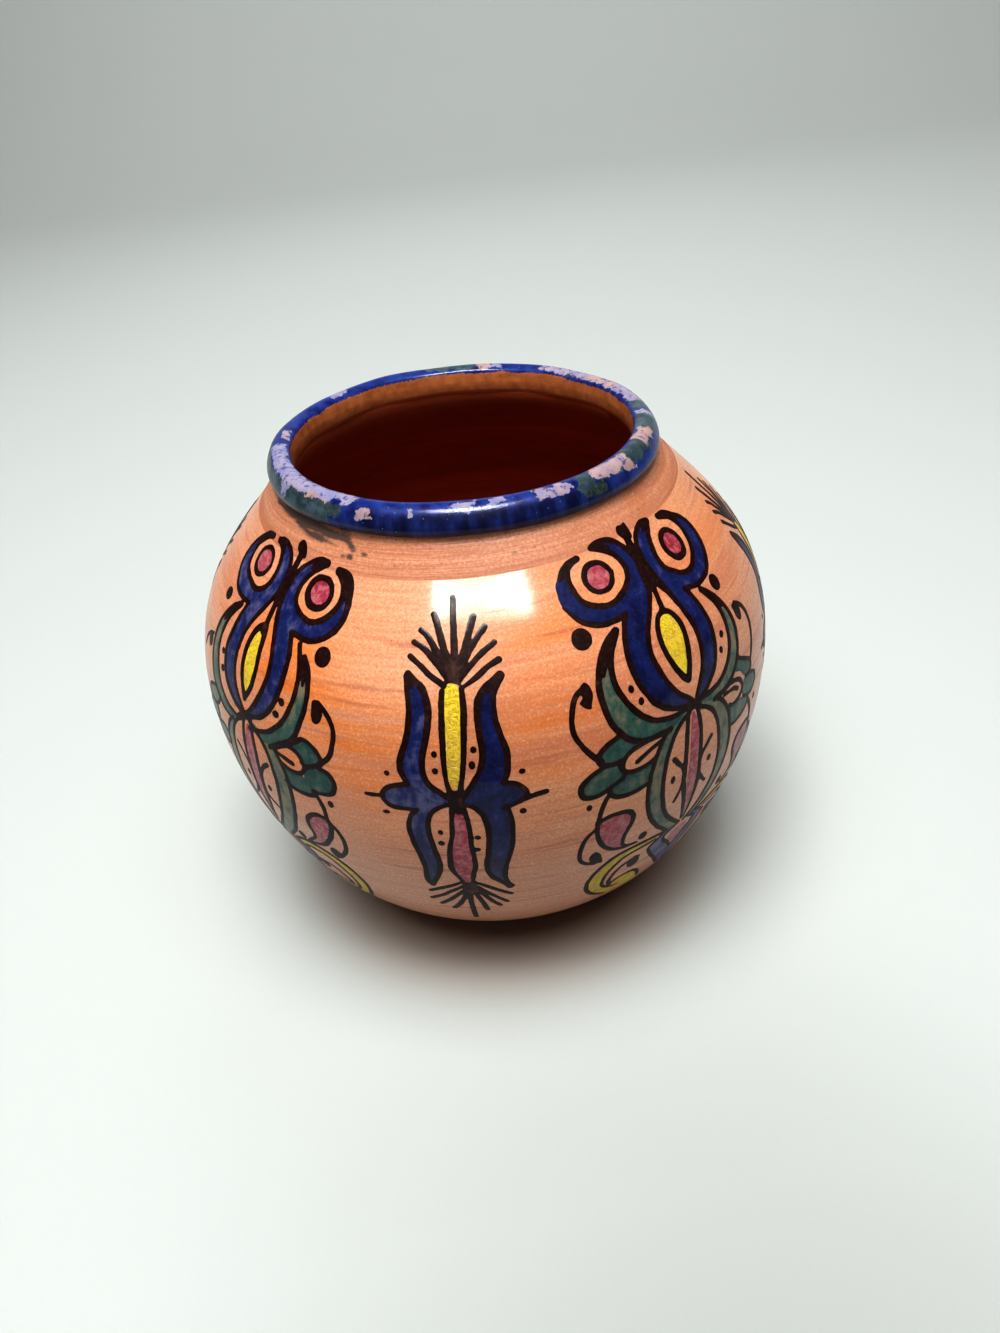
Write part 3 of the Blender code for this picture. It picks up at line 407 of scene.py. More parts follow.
    ("line", (0.9, 0.8, 0.8, 0.8), [(19.9, 7.3), (20.0, 5.8), (20.6, 4.5), (20.2, 3.5)]),
    ("fill", "green", (0.1, 0.4), [(17.8, 2.2), (17.7, 1.2), (18.5, 0.3), (20.1, -0.4), (22.3, -0.5), (24.6, -0.1), (25.6, 0.2), (26.0, 2.5), (26.9, 4.7), (25.2, 4.1), (23.0, 3.9), (21.2, 4.1), (19.7, 3.3)]),
    ("line", (0.7, 0.9, 0.9, 0.9), [(17.8, 2.2), (17.7, 1.2), (18.5, 0.3), (20.1, -0.4), (22.3, -0.5), (24.6, -0.1), (25.6, 0.2)]),
    ("fill", "green", (0.15, 0.25), [(51.0, 12.4), (52.3, 11.4), (54.3, 10.2), (55.9, 9.1), (56.1, 7.8), (55.1, 6.9), (53.4, 6.9), (52.0, 8.4), (51.1, 9.4), (49.5, 10.2), (49.2, 11.4)]),
    ("line", (0.6, 0.7, 0.7, 0.6), [(51.0, 12.4), (52.3, 11.4), (54.3, 10.2), (55.9, 9.1), (56.1, 7.8), (55.1, 6.9), (53.4, 6.9)]),
    ("line", (0.7, 0.8, 0.8, 0.7), [(43.1, 9.1), (45.2, 9.0), (47.5, 9.1), (49.5, 8.6), (50.8, 7.8), (51.6, 6.4), (51.3, 5.2), (49.8, 4.4), (47.7, 4.4), (46.4, 5.1)]),
    ("line", (0.6, 0.7, 0.9, 0.8), [(44.9, 8.1), (46.9, 7.8), (48.5, 7.4), (49.7, 6.6)]),
    ("fill", "green", (0.3, 0.3), [(53.4, 7.1), (55.8, 6.4), (57.7, 5.4), (58.4, 4.0), (57.9, 2.7), (56.1, 2.0), (53.8, 2.5), (52.0, 3.5), (51.5, 4.8), (52.0, 6.3)]),
    ("line", (0.5, 0.6, 0.6, 0.5), [(53.4, 7.1), (55.8, 6.4), (57.7, 5.4), (58.4, 4.0), (57.9, 2.7), (56.1, 2.0), (53.8, 2.5), (52.0, 3.5)]),
    ("fill", "green", (0.4, 0.5), [(54.4, 2.2), (54.3, 1.0), (52.8, 0.0), (50.8, -0.3), (48.5, -0.2), (46.9, 0.2), (46.4, 2.5), (46.5, 4.6), (48.2, 4.1), (50.2, 4.1), (52.5, 3.1)]),
    ("line", (0.5, 0.6, 0.6, 0.5), [(54.4, 2.2), (54.3, 1.0), (52.8, 0.0), (50.8, -0.3), (48.5, -0.2), (46.9, 0.2)]),
    ("fill", "green", (0.75, 0.6), [(30.5, 9.1), (28.9, 7.9), (27.5, 5.8), (26.5, 3.5), (25.6, 0.5), (25.2, -2.8), (25.4, -5.7), (26.1, -8.7), (27.2, -11.2), (28.7, -13.6), (30.3, -15.5), (31.7, -17.2), (35.0, -17.1), (33.4, -15.3), (31.8, -13.4), (30.2, -11.0), (29.2, -8.5), (28.7, -5.9), (28.5, -3.1), (28.7, 0.2), (29.3, 3.0), (30.2, 5.4), (31.5, 7.6), (33.2, 9.1), (35.2, 9.9), (34.7, 10.9), (32.4, 10.1)]),
    ("line", (0.8, 0.9, 0.9, 0.8), [(30.5, 9.1), (28.9, 7.9), (27.5, 5.8), (26.5, 3.5), (25.6, 0.5), (25.2, -2.8), (25.4, -5.7), (26.1, -8.7), (27.2, -11.2), (28.7, -13.6), (30.3, -15.5), (31.7, -17.2)]),
    ("line", (0.9, 0.95, 1.0, 0.9), [(35.2, 9.9), (33.2, 9.1), (31.5, 7.6), (30.2, 5.4), (29.3, 3.0), (28.7, 0.2), (28.5, -3.1), (28.7, -5.9), (29.2, -8.5), (30.2, -11.0), (31.8, -13.4), (33.4, -15.3), (35.0, -17.1)]),
    ("fill", "green", (0.8, 0.7), [(42.0, 9.1), (43.6, 8.1), (45.1, 6.1), (46.1, 3.8), (46.7, 0.8), (46.9, -2.4), (46.6, -5.7), (45.8, -8.7), (44.6, -11.3), (42.8, -13.8), (40.9, -15.6), (39.0, -17.2), (36.5, -17.2), (38.0, -15.8), (39.7, -14.0), (41.1, -11.8), (42.3, -9.4), (42.9, -6.7), (43.2, -3.9), (43.1, -0.8), (42.8, 2.2), (42.1, 5.0), (41.0, 7.3), (39.3, 8.9), (37.3, 9.9), (38.0, 10.7), (40.0, 10.1)]),
    ("line", (0.7, 0.8, 0.8, 0.7), [(42.0, 9.1), (43.6, 8.1), (45.1, 6.1), (46.1, 3.8), (46.7, 0.8), (46.9, -2.4), (46.6, -5.7), (45.8, -8.7), (44.6, -11.3), (42.8, -13.8), (40.9, -15.6), (39.0, -17.2)]),
    ("line", (0.8, 0.8, 0.9, 0.8), [(37.3, 9.9), (39.3, 8.9), (41.0, 7.3), (42.1, 5.0), (42.8, 2.2), (43.1, -0.8), (43.2, -3.9), (42.9, -6.7), (42.3, -9.4), (41.1, -11.8), (39.7, -14.0), (38.0, -15.8), (36.5, -17.2)]),
    ("fill", "magenta", (0.55, 0.6), [(36.0, 9.7), (35.3, 7.4), (35.0, 4.1), (34.8, 0.8), (34.6, -1.8), (34.5, -4.4), (34.7, -7.1), (35.0, -9.7), (35.2, -12.3), (35.6, -15.6), (36.3, -12.3), (36.7, -9.7), (37.1, -7.1), (37.2, -4.4), (37.1, -1.8), (37.2, 0.8), (37.3, 4.1), (37.1, 7.4)]),
    ("line", (0.9, 1.1, 1.3, 0.5), [(34.9, 9.9), (34.3, 7.4), (34.0, 4.1), (33.8, 0.8), (33.6, -1.8), (33.6, -4.4), (34.0, -7.1), (34.4, -9.7), (34.8, -12.3), (35.3, -15.9)]),
    ("line", (0.9, 1.0, 1.2, 0.5), [(37.1, 9.9), (37.5, 7.4), (37.7, 4.1), (37.6, 0.8), (37.5, -1.8), (37.5, -4.4), (37.4, -7.1), (37.1, -9.7), (36.7, -12.3), (36.0, -15.9)]),
    ("line", (0.5, 0.8, 0.95, 0.95), [(33.5, -2.4), (33.1, -0.8), (32.1, 0.7), (31.0, 2.3)]),
    ("line", (0.4, 0.6, 0.7, 0.65), [(33.5, -3.1), (33.1, -5.1), (32.5, -6.8), (31.7, -8.4)]),
    ("line", (0.5, 0.7, 0.9, 0.9), [(37.7, -2.1), (38.2, -0.5), (39.3, 0.8), (40.6, 2.0)]),
    ("line", (0.4, 0.6, 0.7, 0.6), [(37.5, -3.8), (38.0, -5.4), (38.8, -6.9), (40.0, -8.4)]),
    ("dot", (30.8, -2.4), (0.55, 0.95)),
    ("dot", (40.2, -2.8), (0.55, 0.7)),
    ("line", (1.2, 1.6, 1.4, 1.0), [(34.7, 11.0), (35.8, 10.7), (36.8, 10.6), (37.8, 10.1)]),
    ("line", (0.8, 0.95, 0.9, 0.9), [(17.9, 1.6), (16.8, -0.2), (16.0, -2.2), (15.6, -4.1), (15.4, -5.2)]),
    ("fill", "magenta", (0.55, 0.75), [(15.4, -4.8), (17.3, -4.2), (19.6, -4.2), (21.6, -4.9), (22.4, -6.5), (22.2, -8.1), (21.4, -9.8), (20.8, -11.7), (20.8, -13.7), (21.9, -14.9), (24.0, -15.3), (24.0, -15.3), (21.9, -15.1), (20.0, -14.7), (18.2, -13.7), (16.8, -12.1), (15.8, -9.8), (15.3, -7.1), (15.4, -4.8)]),
    ("line", (0.9, 1.0, 0.95, 0.5), [(15.4, -4.8), (17.3, -4.2), (19.6, -4.2), (21.6, -4.9), (22.4, -6.5), (22.2, -8.1), (21.4, -9.8), (20.8, -11.7), (20.8, -13.7), (21.9, -14.9), (24.0, -15.3)]),
    ("line", (0.9, 0.9, 0.9, 0.5), [(15.4, -4.8), (15.3, -7.1), (15.8, -9.8), (16.8, -12.1), (18.2, -13.7), (20.0, -14.7), (21.9, -15.1), (24.0, -15.3)]),
    ("line", (0.7, 0.85, 0.9, 0.9), [(15.0, -6.5), (13.8, -7.4), (12.8, -9.1), (12.3, -11.0), (12.1, -13.0), (12.5, -14.9), (13.7, -16.3), (15.3, -17.1)]),
    ("fill", "dark", (0.3, 0.3), [(15.2, -13.2), (16.1, -14.0), (16.6, -15.3), (16.9, -17.4), (15.6, -17.2), (14.4, -16.4), (14.0, -14.9), (14.4, -13.8)]),
    ("dot", (13.9, -0.5), (0.55, 0.75)),
    ("dot", (25.3, -14.0), (1.0, 1.15)),
    ("line", (0.8, 0.95, 0.9, 0.9), [(54.3, 1.6), (55.4, -0.2), (56.2, -2.2), (56.5, -4.1), (56.7, -5.2)]),
    ("fill", "magenta", (0.6, 0.8), [(56.7, -4.8), (54.9, -4.2), (52.5, -4.2), (50.6, -4.9), (49.8, -6.5), (49.9, -8.1), (50.7, -9.8), (51.3, -11.7), (51.4, -13.7), (50.2, -14.9), (48.2, -15.3), (48.2, -15.3), (50.3, -15.1), (52.2, -14.7), (54.0, -13.7), (55.4, -12.1), (56.3, -9.8), (56.9, -7.1), (56.7, -4.8)]),
    ("line", (0.9, 1.0, 0.95, 0.5), [(56.7, -4.8), (54.9, -4.2), (52.5, -4.2), (50.6, -4.9), (49.8, -6.5), (49.9, -8.1), (50.7, -9.8), (51.3, -11.7), (51.4, -13.7), (50.2, -14.9), (48.2, -15.3)]),
    ("line", (0.9, 0.9, 0.9, 0.5), [(56.7, -4.8), (56.9, -7.1), (56.3, -9.8), (55.4, -12.1), (54.0, -13.7), (52.2, -14.7), (50.3, -15.1), (48.2, -15.3)]),
    ("line", (0.7, 0.85, 0.9, 0.9), [(57.1, -6.5), (58.3, -7.4), (59.3, -9.1), (59.9, -11.0), (60.1, -13.0), (59.6, -14.9), (58.4, -16.3), (56.9, -17.1)]),
    ("fill", "dark", (0.3, 0.3), [(56.9, -13.2), (56.0, -14.0), (55.6, -15.3), (55.3, -17.4), (56.5, -17.2), (57.8, -16.4), (58.2, -14.9), (57.8, -13.8)]),
    ("dot", (58.2, -0.5), (0.55, 0.75)),
    ("dot", (46.9, -14.0), (1.0, 1.15)),
    ("fill", "yellow", (0.6, 0.7), [(30.6, -17.1), (27.1, -16.7), (23.5, -16.7), (20.4, -17.2), (18.1, -18.6), (16.1, -21.0), (14.9, -23.8), (14.6, -26.6), (15.2, -29.3), (16.7, -31.7), (18.6, -33.7), (20.6, -35.3), (22.5, -35.3), (23.2, -33.7), (22.9, -32.1), (21.6, -31.8), (19.9, -30.7), (18.6, -28.8), (18.3, -26.5), (18.7, -23.8), (19.9, -21.5), (21.5, -19.6), (23.5, -18.7), (26.1, -18.4), (29.1, -18.1)]),
    ("line", (0.9, 0.9, 0.9, 0.8), [(30.6, -17.1), (27.1, -16.7), (23.5, -16.7), (20.4, -17.2), (18.1, -18.6), (16.1, -21.0), (14.9, -23.8), (14.6, -26.6), (15.2, -29.3), (16.7, -31.7), (18.6, -33.7), (20.6, -35.3)]),
    ("line", (0.7, 0.8, 0.8, 0.7), [(29.1, -18.1), (26.1, -18.4), (23.5, -18.7), (21.5, -19.6), (19.9, -21.5), (18.7, -23.8), (18.3, -26.5), (18.6, -28.8), (19.9, -30.7), (21.6, -31.8), (22.9, -32.1)]),
    ("line", (0.6, 0.8, 0.8, 0.8), [(26.0, -21.6), (23.7, -21.9), (21.7, -23.2), (20.4, -25.5), (20.0, -28.1), (20.8, -30.2)]),
    ("fill", "dark", (0.5, 0.5), [(24.9, -20.9), (26.0, -21.7), (26.4, -23.2), (26.0, -24.7), (24.8, -25.1), (23.6, -24.2), (23.5, -22.3)]),
    ("fill", "yellow", (0.6, 0.6), [(21.3, -29.1), (22.9, -28.0), (25.2, -27.6), (27.2, -28.8), (28.5, -31.1), (29.4, -33.7), (29.8, -35.3), (25.2, -35.7), (22.5, -33.0)]),
    ("line", (0.7, 0.8, 0.8, 0.7), [(21.3, -29.1), (22.9, -28.0), (25.2, -27.6), (27.2, -28.8), (28.5, -31.1), (29.4, -33.7)]),
    ("fill", "blue", (0.75, 0.85), [(31.7, -17.2), (29.6, -18.9), (28.2, -20.3), (28.4, -21.7), (29.6, -24.2), (31.5, -27.1), (33.2, -29.9), (35.2, -33.0), (36.1, -33.4), (35.9, -26.5), (34.7, -24.3), (33.4, -22.5), (32.1, -20.9), (31.7, -19.2), (33.1, -18.1), (34.7, -17.1)]),
    ("line", (0.7, 0.8, 0.8, 0.8), [(31.7, -17.2), (29.6, -18.9), (28.2, -20.3), (28.4, -21.7), (29.6, -24.2), (31.5, -27.1), (33.2, -29.9), (35.2, -33.0)]),
    ("line", (0.7, 0.8, 0.8, 0.6), [(34.7, -17.1), (33.1, -18.1), (31.7, -19.2), (32.1, -20.9), (33.4, -22.5), (34.7, -24.3), (35.9, -26.5)]),
    ("fill", "yellow", (0.6, 0.7), [(41.6, -17.1), (45.0, -16.7), (48.6, -16.7), (51.8, -17.2), (54.1, -18.6), (56.0, -21.0), (57.3, -23.8), (57.6, -26.6), (56.9, -29.3), (55.5, -31.7), (53.6, -33.7), (51.5, -35.3), (49.6, -35.3), (49.0, -33.7), (49.3, -32.1), (50.6, -31.8), (52.3, -30.7), (53.5, -28.8), (53.8, -26.5), (53.4, -23.8), (52.3, -21.5), (50.6, -19.6), (48.6, -18.7), (46.0, -18.4), (43.1, -18.1)]),
    ("line", (0.9, 0.9, 0.9, 0.8), [(41.6, -17.1), (45.0, -16.7), (48.6, -16.7), (51.8, -17.2), (54.1, -18.6), (56.0, -21.0), (57.3, -23.8), (57.6, -26.6), (56.9, -29.3), (55.5, -31.7), (53.6, -33.7), (51.5, -35.3)]),
    ("line", (0.7, 0.8, 0.8, 0.7), [(43.1, -18.1), (46.0, -18.4), (48.6, -18.7), (50.6, -19.6), (52.3, -21.5), (53.4, -23.8), (53.8, -26.5), (53.5, -28.8), (52.3, -30.7), (50.6, -31.8), (49.3, -32.1)]),
    ("line", (0.6, 0.8, 0.8, 0.8), [(46.2, -21.6), (48.5, -21.9), (50.5, -23.2), (51.8, -25.5), (52.2, -28.1), (51.3, -30.2)]),
    ("fill", "dark", (0.5, 0.5), [(47.3, -20.9), (46.2, -21.7), (45.8, -23.2), (46.2, -24.7), (47.3, -25.1), (48.6, -24.2), (48.6, -22.3)]),
    ("fill", "yellow", (0.6, 0.6), [(50.9, -29.1), (49.2, -28.0), (46.9, -27.6), (45.0, -28.8), (43.6, -31.1), (42.7, -33.7), (42.4, -35.3), (47.0, -35.7), (49.6, -33.0)]),
    ("line", (0.7, 0.8, 0.8, 0.7), [(50.9, -29.1), (49.2, -28.0), (46.9, -27.6), (45.0, -28.8), (43.6, -31.1), (42.7, -33.7)]),
    ("fill", "blue", (0.75, 0.85), [(40.4, -17.2), (42.6, -18.9), (44.0, -20.3), (43.7, -21.7), (42.6, -24.2), (40.7, -27.1), (38.9, -29.9), (37.0, -33.0), (36.1, -33.4), (36.2, -26.5), (37.5, -24.3), (38.8, -22.5), (40.0, -20.9), (40.4, -19.2), (39.1, -18.1), (37.5, -17.1)]),
    ("line", (0.7, 0.8, 0.8, 0.8), [(40.4, -17.2), (42.6, -18.9), (44.0, -20.3), (43.7, -21.7), (42.6, -24.2), (40.7, -27.1), (38.9, -29.9), (37.0, -33.0)]),
    ("line", (0.7, 0.8, 0.8, 0.6), [(37.5, -17.1), (39.1, -18.1), (40.4, -19.2), (40.0, -20.9), (38.8, -22.5), (37.5, -24.3), (36.2, -26.5)]),
    ("fill", "magenta", (0.9, 0.9), [(36.1, -18.9), (38.0, -19.2), (38.8, -20.9), (38.0, -22.8), (36.1, -25.5), (34.2, -22.8), (33.4, -20.9), (34.2, -19.2)]),
]
LARGE_LEFT = [
    ("fill", "blue", (0.6, 0.5), [(-63.4, 43.9), (-65.8, 43.8), (-68.3, 42.7), (-70.6, 41.0), (-72.1, 39.1), (-72.4, 36.8), (-71.6, 34.8), (-69.7, 33.2), (-67.4, 31.8), (-64.8, 31.2), (-61.9, 31.1), (-59.2, 31.1), (-60.0, 28.6), (-60.6, 25.9), (-61.1, 22.7), (-60.8, 20.0), (-59.8, 17.4), (-57.8, 15.1), (-55.2, 13.4), (-52.9, 12.6), (-51.7, 12.3), (-53.3, 14.4), (-54.9, 16.4), (-56.0, 18.7), (-56.6, 21.3), (-56.5, 24.6), (-55.9, 27.3), (-54.6, 29.9), (-52.9, 32.5), (-51.5, 34.8), (-50.7, 37.1), (-50.7, 39.9), (-51.6, 42.0), (-53.2, 43.5), (-55.6, 44.4), (-58.1, 44.5), (-59.9, 44.0), (-57.6, 43.3), (-56.0, 42.1), (-55.0, 40.4), (-54.8, 38.4), (-55.3, 36.4), (-56.9, 34.8), (-59.2, 34.0), (-61.9, 34.3), (-64.8, 35.0), (-67.1, 35.8), (-68.6, 37.5), (-69.0, 39.4), (-68.5, 41.1), (-67.1, 42.5), (-65.1, 43.5)]),
    ("line", (0.8, 0.8, 0.7, 0.9), [(-63.4, 43.9), (-65.8, 43.8), (-68.3, 42.7), (-70.6, 41.0), (-72.1, 39.1), (-72.4, 36.8), (-71.6, 34.8), (-69.7, 33.2), (-67.4, 31.8), (-64.8, 31.2), (-61.9, 31.1), (-59.2, 31.1)]),
    ("line", (1.0, 1.1, 1.1, 0.9), [(-59.2, 31.1), (-60.0, 28.6), (-60.6, 25.9), (-61.1, 22.7), (-60.8, 20.0), (-59.8, 17.4), (-57.8, 15.1), (-55.2, 13.4), (-52.9, 12.6), (-51.7, 12.3)]),
    ("line", (0.9, 1.1, 1.1, 1.0), [(-51.7, 12.6), (-53.3, 14.4), (-54.9, 16.4), (-56.0, 18.7), (-56.6, 21.3), (-56.5, 24.6), (-55.9, 27.3), (-54.6, 29.9), (-52.9, 32.5), (-51.5, 34.8), (-50.7, 37.1), (-50.7, 39.9), (-51.6, 42.0), (-53.2, 43.5), (-55.6, 44.4), (-58.1, 44.5), (-59.9, 44.0)]),
    ("line", (1.0, 1.2, 1.0, 1.0), [(-59.9, 44.0), (-57.6, 43.3), (-56.0, 42.1), (-55.0, 40.4), (-54.8, 38.4), (-55.3, 36.4), (-56.9, 34.8), (-59.2, 34.0), (-61.9, 34.3), (-64.8, 35.0), (-67.1, 35.8), (-68.6, 37.5), (-69.0, 39.4), (-68.5, 41.1), (-67.1, 42.5), (-65.1, 43.5), (-63.4, 43.9)]),
    ("line", (1.1, 1.5, 0.9, 0.4), [(-59.9, 44.0), (-58.1, 44.0), (-56.6, 43.5), (-55.3, 42.6)]),
    ("line", (0.9, 1.5, 1.8, 0.6), [(-63.5, 43.8), (-65.8, 43.2), (-68.3, 41.6), (-69.9, 39.9)]),
    ("fill", "blue", (0.5, 0.4), [(-51.6, 12.5), (-50.3, 13.5), (-48.6, 15.4), (-47.3, 17.4), (-46.2, 19.7), (-45.5, 22.0), (-45.5, 24.6), (-46.2, 27.3), (-47.1, 29.9), (-48.0, 32.2), (-48.6, 34.2), (-48.6, 36.1), (-48.4, 38.1), (-47.8, 40.1), (-46.7, 41.6), (-45.1, 42.8), (-43.1, 43.8), (-41.1, 44.2), (-38.9, 43.9), (-41.1, 42.7), (-42.8, 41.5), (-44.0, 40.1), (-44.8, 38.1), (-44.5, 36.1), (-43.1, 34.8), (-41.1, 33.8), (-38.5, 33.3), (-35.9, 34.0), (-33.9, 35.4), (-32.6, 37.1), (-32.1, 39.1), (-32.5, 40.8), (-33.6, 41.9), (-35.0, 43.0), (-32.8, 42.9), (-31.1, 41.8), (-30.3, 39.8), (-30.1, 37.5), (-30.4, 35.2), (-31.6, 33.1), (-33.6, 31.5), (-36.1, 30.4), (-38.8, 30.2), (-41.1, 30.5), (-42.4, 30.6), (-41.6, 28.6), (-41.1, 26.3), (-41.3, 23.6), (-41.8, 20.7), (-42.8, 18.1), (-44.4, 15.8), (-46.3, 14.1), (-48.6, 13.1), (-51.2, 12.2)]),
    ("line", (0.9, 1.1, 1.1, 1.1), [(-51.6, 12.5), (-50.3, 13.5), (-48.6, 15.4), (-47.3, 17.4), (-46.2, 19.7), (-45.5, 22.0), (-45.5, 24.6), (-46.2, 27.3), (-47.1, 29.9), (-48.0, 32.2), (-48.6, 34.2)]),
    ("line", (1.1, 1.1, 0.8, 1.3), [(-48.6, 34.2), (-48.6, 36.1), (-48.4, 38.1), (-47.8, 40.1), (-46.7, 41.6), (-45.1, 42.8), (-43.1, 43.8), (-41.1, 44.2), (-38.9, 43.9)]),
    ("line", (1.2, 1.0, 1.2, 1.2), [(-38.9, 43.8), (-41.1, 42.7), (-42.8, 41.5), (-44.0, 40.1), (-44.8, 38.1), (-44.5, 36.1), (-43.1, 34.8), (-41.1, 33.8), (-38.5, 33.3), (-35.9, 34.0), (-33.9, 35.4), (-32.6, 37.1), (-32.1, 39.1), (-32.5, 40.8), (-33.6, 41.9), (-35.0, 43.0)]),
    ("line", (1.5, 1.3, 1.1, 1.0), [(-35.0, 43.1), (-32.8, 42.9), (-31.1, 41.8), (-30.3, 39.8), (-30.1, 37.5), (-30.4, 35.2), (-31.6, 33.1), (-33.6, 31.5), (-36.1, 30.4), (-38.8, 30.2), (-41.1, 30.5), (-42.4, 30.6)]),
    ("line", (1.0, 1.2, 1.1, 0.9), [(-42.4, 30.6), (-41.6, 28.6), (-41.1, 26.3), (-41.3, 23.6), (-41.8, 20.7), (-42.8, 18.1), (-44.4, 15.8), (-46.3, 14.1), (-48.6, 13.1), (-51.2, 12.2)]),
    ("line", (1.4, 2.0, 1.4, 0.4), [(-39.1, 43.8), (-40.8, 43.5), (-42.4, 43.1), (-43.6, 42.2)]),
    ("line", (1.5, 2.0, 1.9, 0.5), [(-34.8, 43.0), (-32.6, 42.0), (-31.5, 40.4), (-31.2, 38.6)]),
    ("fill", "magenta", (0.75, 0.75), [(-58.2, 39.1), (-58.7, 37.7), (-60.0, 36.7), (-61.8, 36.3), (-63.6, 36.7), (-64.9, 37.7), (-65.4, 39.1), (-64.9, 40.5), (-63.6, 41.5), (-61.8, 41.9), (-60.0, 41.5), (-58.7, 40.5)]),
    ("line", (0.9, 1.1, 0.9, 0.7), [(-58.2, 39.1), (-58.7, 37.8), (-60.0, 36.8), (-61.8, 36.4), (-63.6, 36.8), (-64.9, 37.8), (-65.3, 39.1), (-64.9, 40.5), (-63.6, 41.4), (-61.8, 41.8), (-60.0, 41.4), (-58.7, 40.5), (-58.2, 39.1)]),
    ("fill", "magenta", (0.35, 0.35), [(-34.9, 38.6), (-35.4, 37.1), (-36.7, 36.1), (-38.4, 35.7), (-40.2, 36.1), (-41.5, 37.1), (-42.0, 38.6), (-41.5, 40.0), (-40.2, 41.1), (-38.4, 41.5), (-36.7, 41.1), (-35.4, 40.0)]),
    ("line", (0.9, 1.5, 1.3, 0.9), [(-35.1, 38.6), (-35.6, 37.2), (-36.8, 36.2), (-38.5, 35.8), (-40.2, 36.2), (-41.4, 37.2), (-41.9, 38.6), (-41.4, 40.0), (-40.2, 41.0), (-38.5, 41.3), (-36.8, 41.0), (-35.6, 40.0), (-35.1, 38.6)]),
    ("fill", "dark", (0.25, 0.25), [(-51.0, 45.4), (-49.8, 46.3), (-48.4, 46.0), (-47.3, 45.0), (-46.8, 43.5), (-48.0, 43.3), (-49.2, 43.0), (-50.0, 43.9), (-50.9, 44.4)]),
    ("line", (1.6, 1.6, 1.6, 1.8), [(-48.8, 43.7), (-49.2, 41.1), (-49.6, 38.8), (-49.9, 36.5)]),
    ("line", (2.2, 2.3, 1.8, 1.2), [(-49.8, 38.4), (-49.9, 36.8), (-50.0, 35.2), (-50.1, 33.8)]),
    ("line", (1.4, 1.3, 1.3, 1.6), [(-50.1, 34.2), (-50.1, 32.2), (-50.2, 30.2), (-50.4, 28.6)]),
    ("fill", "yellow", (0.2, 0.3), [(-51.5, 28.7), (-50.0, 28.4), (-49.8, 26.6), (-50.2, 25.5), (-49.7, 23.3), (-49.4, 21.3), (-49.8, 19.0), (-50.8, 17.2), (-51.7, 17.3), (-52.8, 18.4), (-53.4, 20.7), (-53.3, 23.0), (-53.2, 25.3), (-52.8, 27.3)]),
    ("line", (1.5, 1.3, 1.3, 1.1), [(-50.2, 29.6), (-51.6, 29.0), (-52.9, 27.6), (-53.6, 25.3), (-53.8, 22.7), (-53.4, 20.0), (-52.6, 17.7), (-51.8, 15.6)]),
    ("line", (1.6, 1.1, 1.1, 1.0), [(-50.0, 29.4), (-49.5, 27.3), (-49.4, 24.6), (-49.2, 22.0), (-49.7, 19.0), (-50.6, 17.2), (-51.7, 15.5)]),
    ("dot", (-69.4, 29.2), (1.6, 1.3)),
    ("dot", (-33.1, 28.2), (1.75, 1.85)),
    ("dot", (-62.2, 20.4), (0.7, 0.6)),
    ("dot", (-61.3, 17.4), (0.75, 0.7)),
    ("dot", (-41.0, 18.6), (0.7, 0.75)),
    ("dot", (-42.3, 16.0), (0.85, 0.7)),
    ("fill", "green", (0.8, 0.4), [(-61.3, 30.0), (-63.2, 27.9), (-64.4, 25.6), (-64.9, 23.0), (-64.8, 20.7), (-64.1, 18.1), (-62.8, 15.4), (-60.8, 13.1), (-58.2, 11.5), (-54.9, 10.8), (-52.3, 10.9), (-54.9, 9.7), (-57.6, 9.2), (-60.9, 9.8), (-63.8, 11.5), (-66.1, 13.4), (-67.1, 15.4), (-67.9, 18.1), (-68.2, 21.0), (-67.7, 24.0), (-66.5, 26.3), (-64.5, 28.6), (-61.7, 30.2)]),
    ("line", (1.0, 1.0, 0.8, 0.7), [(-61.3, 30.0), (-63.2, 27.9), (-64.4, 25.6), (-64.9, 23.0), (-64.8, 20.7), (-64.1, 18.1), (-62.8, 15.4), (-60.8, 13.1), (-58.2, 11.5), (-54.9, 10.8)]),
    ("line", (1.0, 0.9, 0.6, 0.5), [(-61.7, 30.2), (-64.5, 28.6), (-66.5, 26.3), (-67.7, 24.0), (-68.2, 21.0), (-67.9, 18.1), (-67.1, 15.4), (-66.1, 13.4), (-63.8, 11.5), (-60.9, 9.8), (-57.6, 9.2)]),
    ("line", (1.1, 1.6, 1.4, 0.4), [(-61.5, 30.0), (-63.5, 28.6), (-65.0, 26.9), (-66.1, 25.0)]),
    ("fill", "green", (0.85, 0.1), [(-38.2, 26.6), (-37.8, 24.6), (-37.7, 22.7), (-38.2, 20.0), (-39.1, 17.7), (-40.4, 15.4), (-42.4, 13.4), (-44.7, 11.8), (-47.6, 10.8), (-50.3, 10.2), (-49.7, 10.4), (-47.1, 9.1), (-45.4, 8.2), (-44.4, 8.8), (-42.8, 9.8), (-40.5, 11.1), (-38.8, 12.1), (-37.4, 13.8), (-36.5, 15.8), (-35.5, 18.4), (-35.1, 21.0), (-35.3, 24.0), (-36.0, 25.9), (-37.2, 27.4)]),
    ("line", (1.1, 1.0, 1.0, 0.9), [(-39.2, 29.1), (-38.4, 26.9), (-37.8, 24.6), (-37.7, 22.7), (-38.2, 20.0), (-39.1, 17.7), (-40.4, 15.4), (-42.4, 13.4), (-44.7, 11.8), (-47.6, 10.8), (-50.3, 10.2)]),
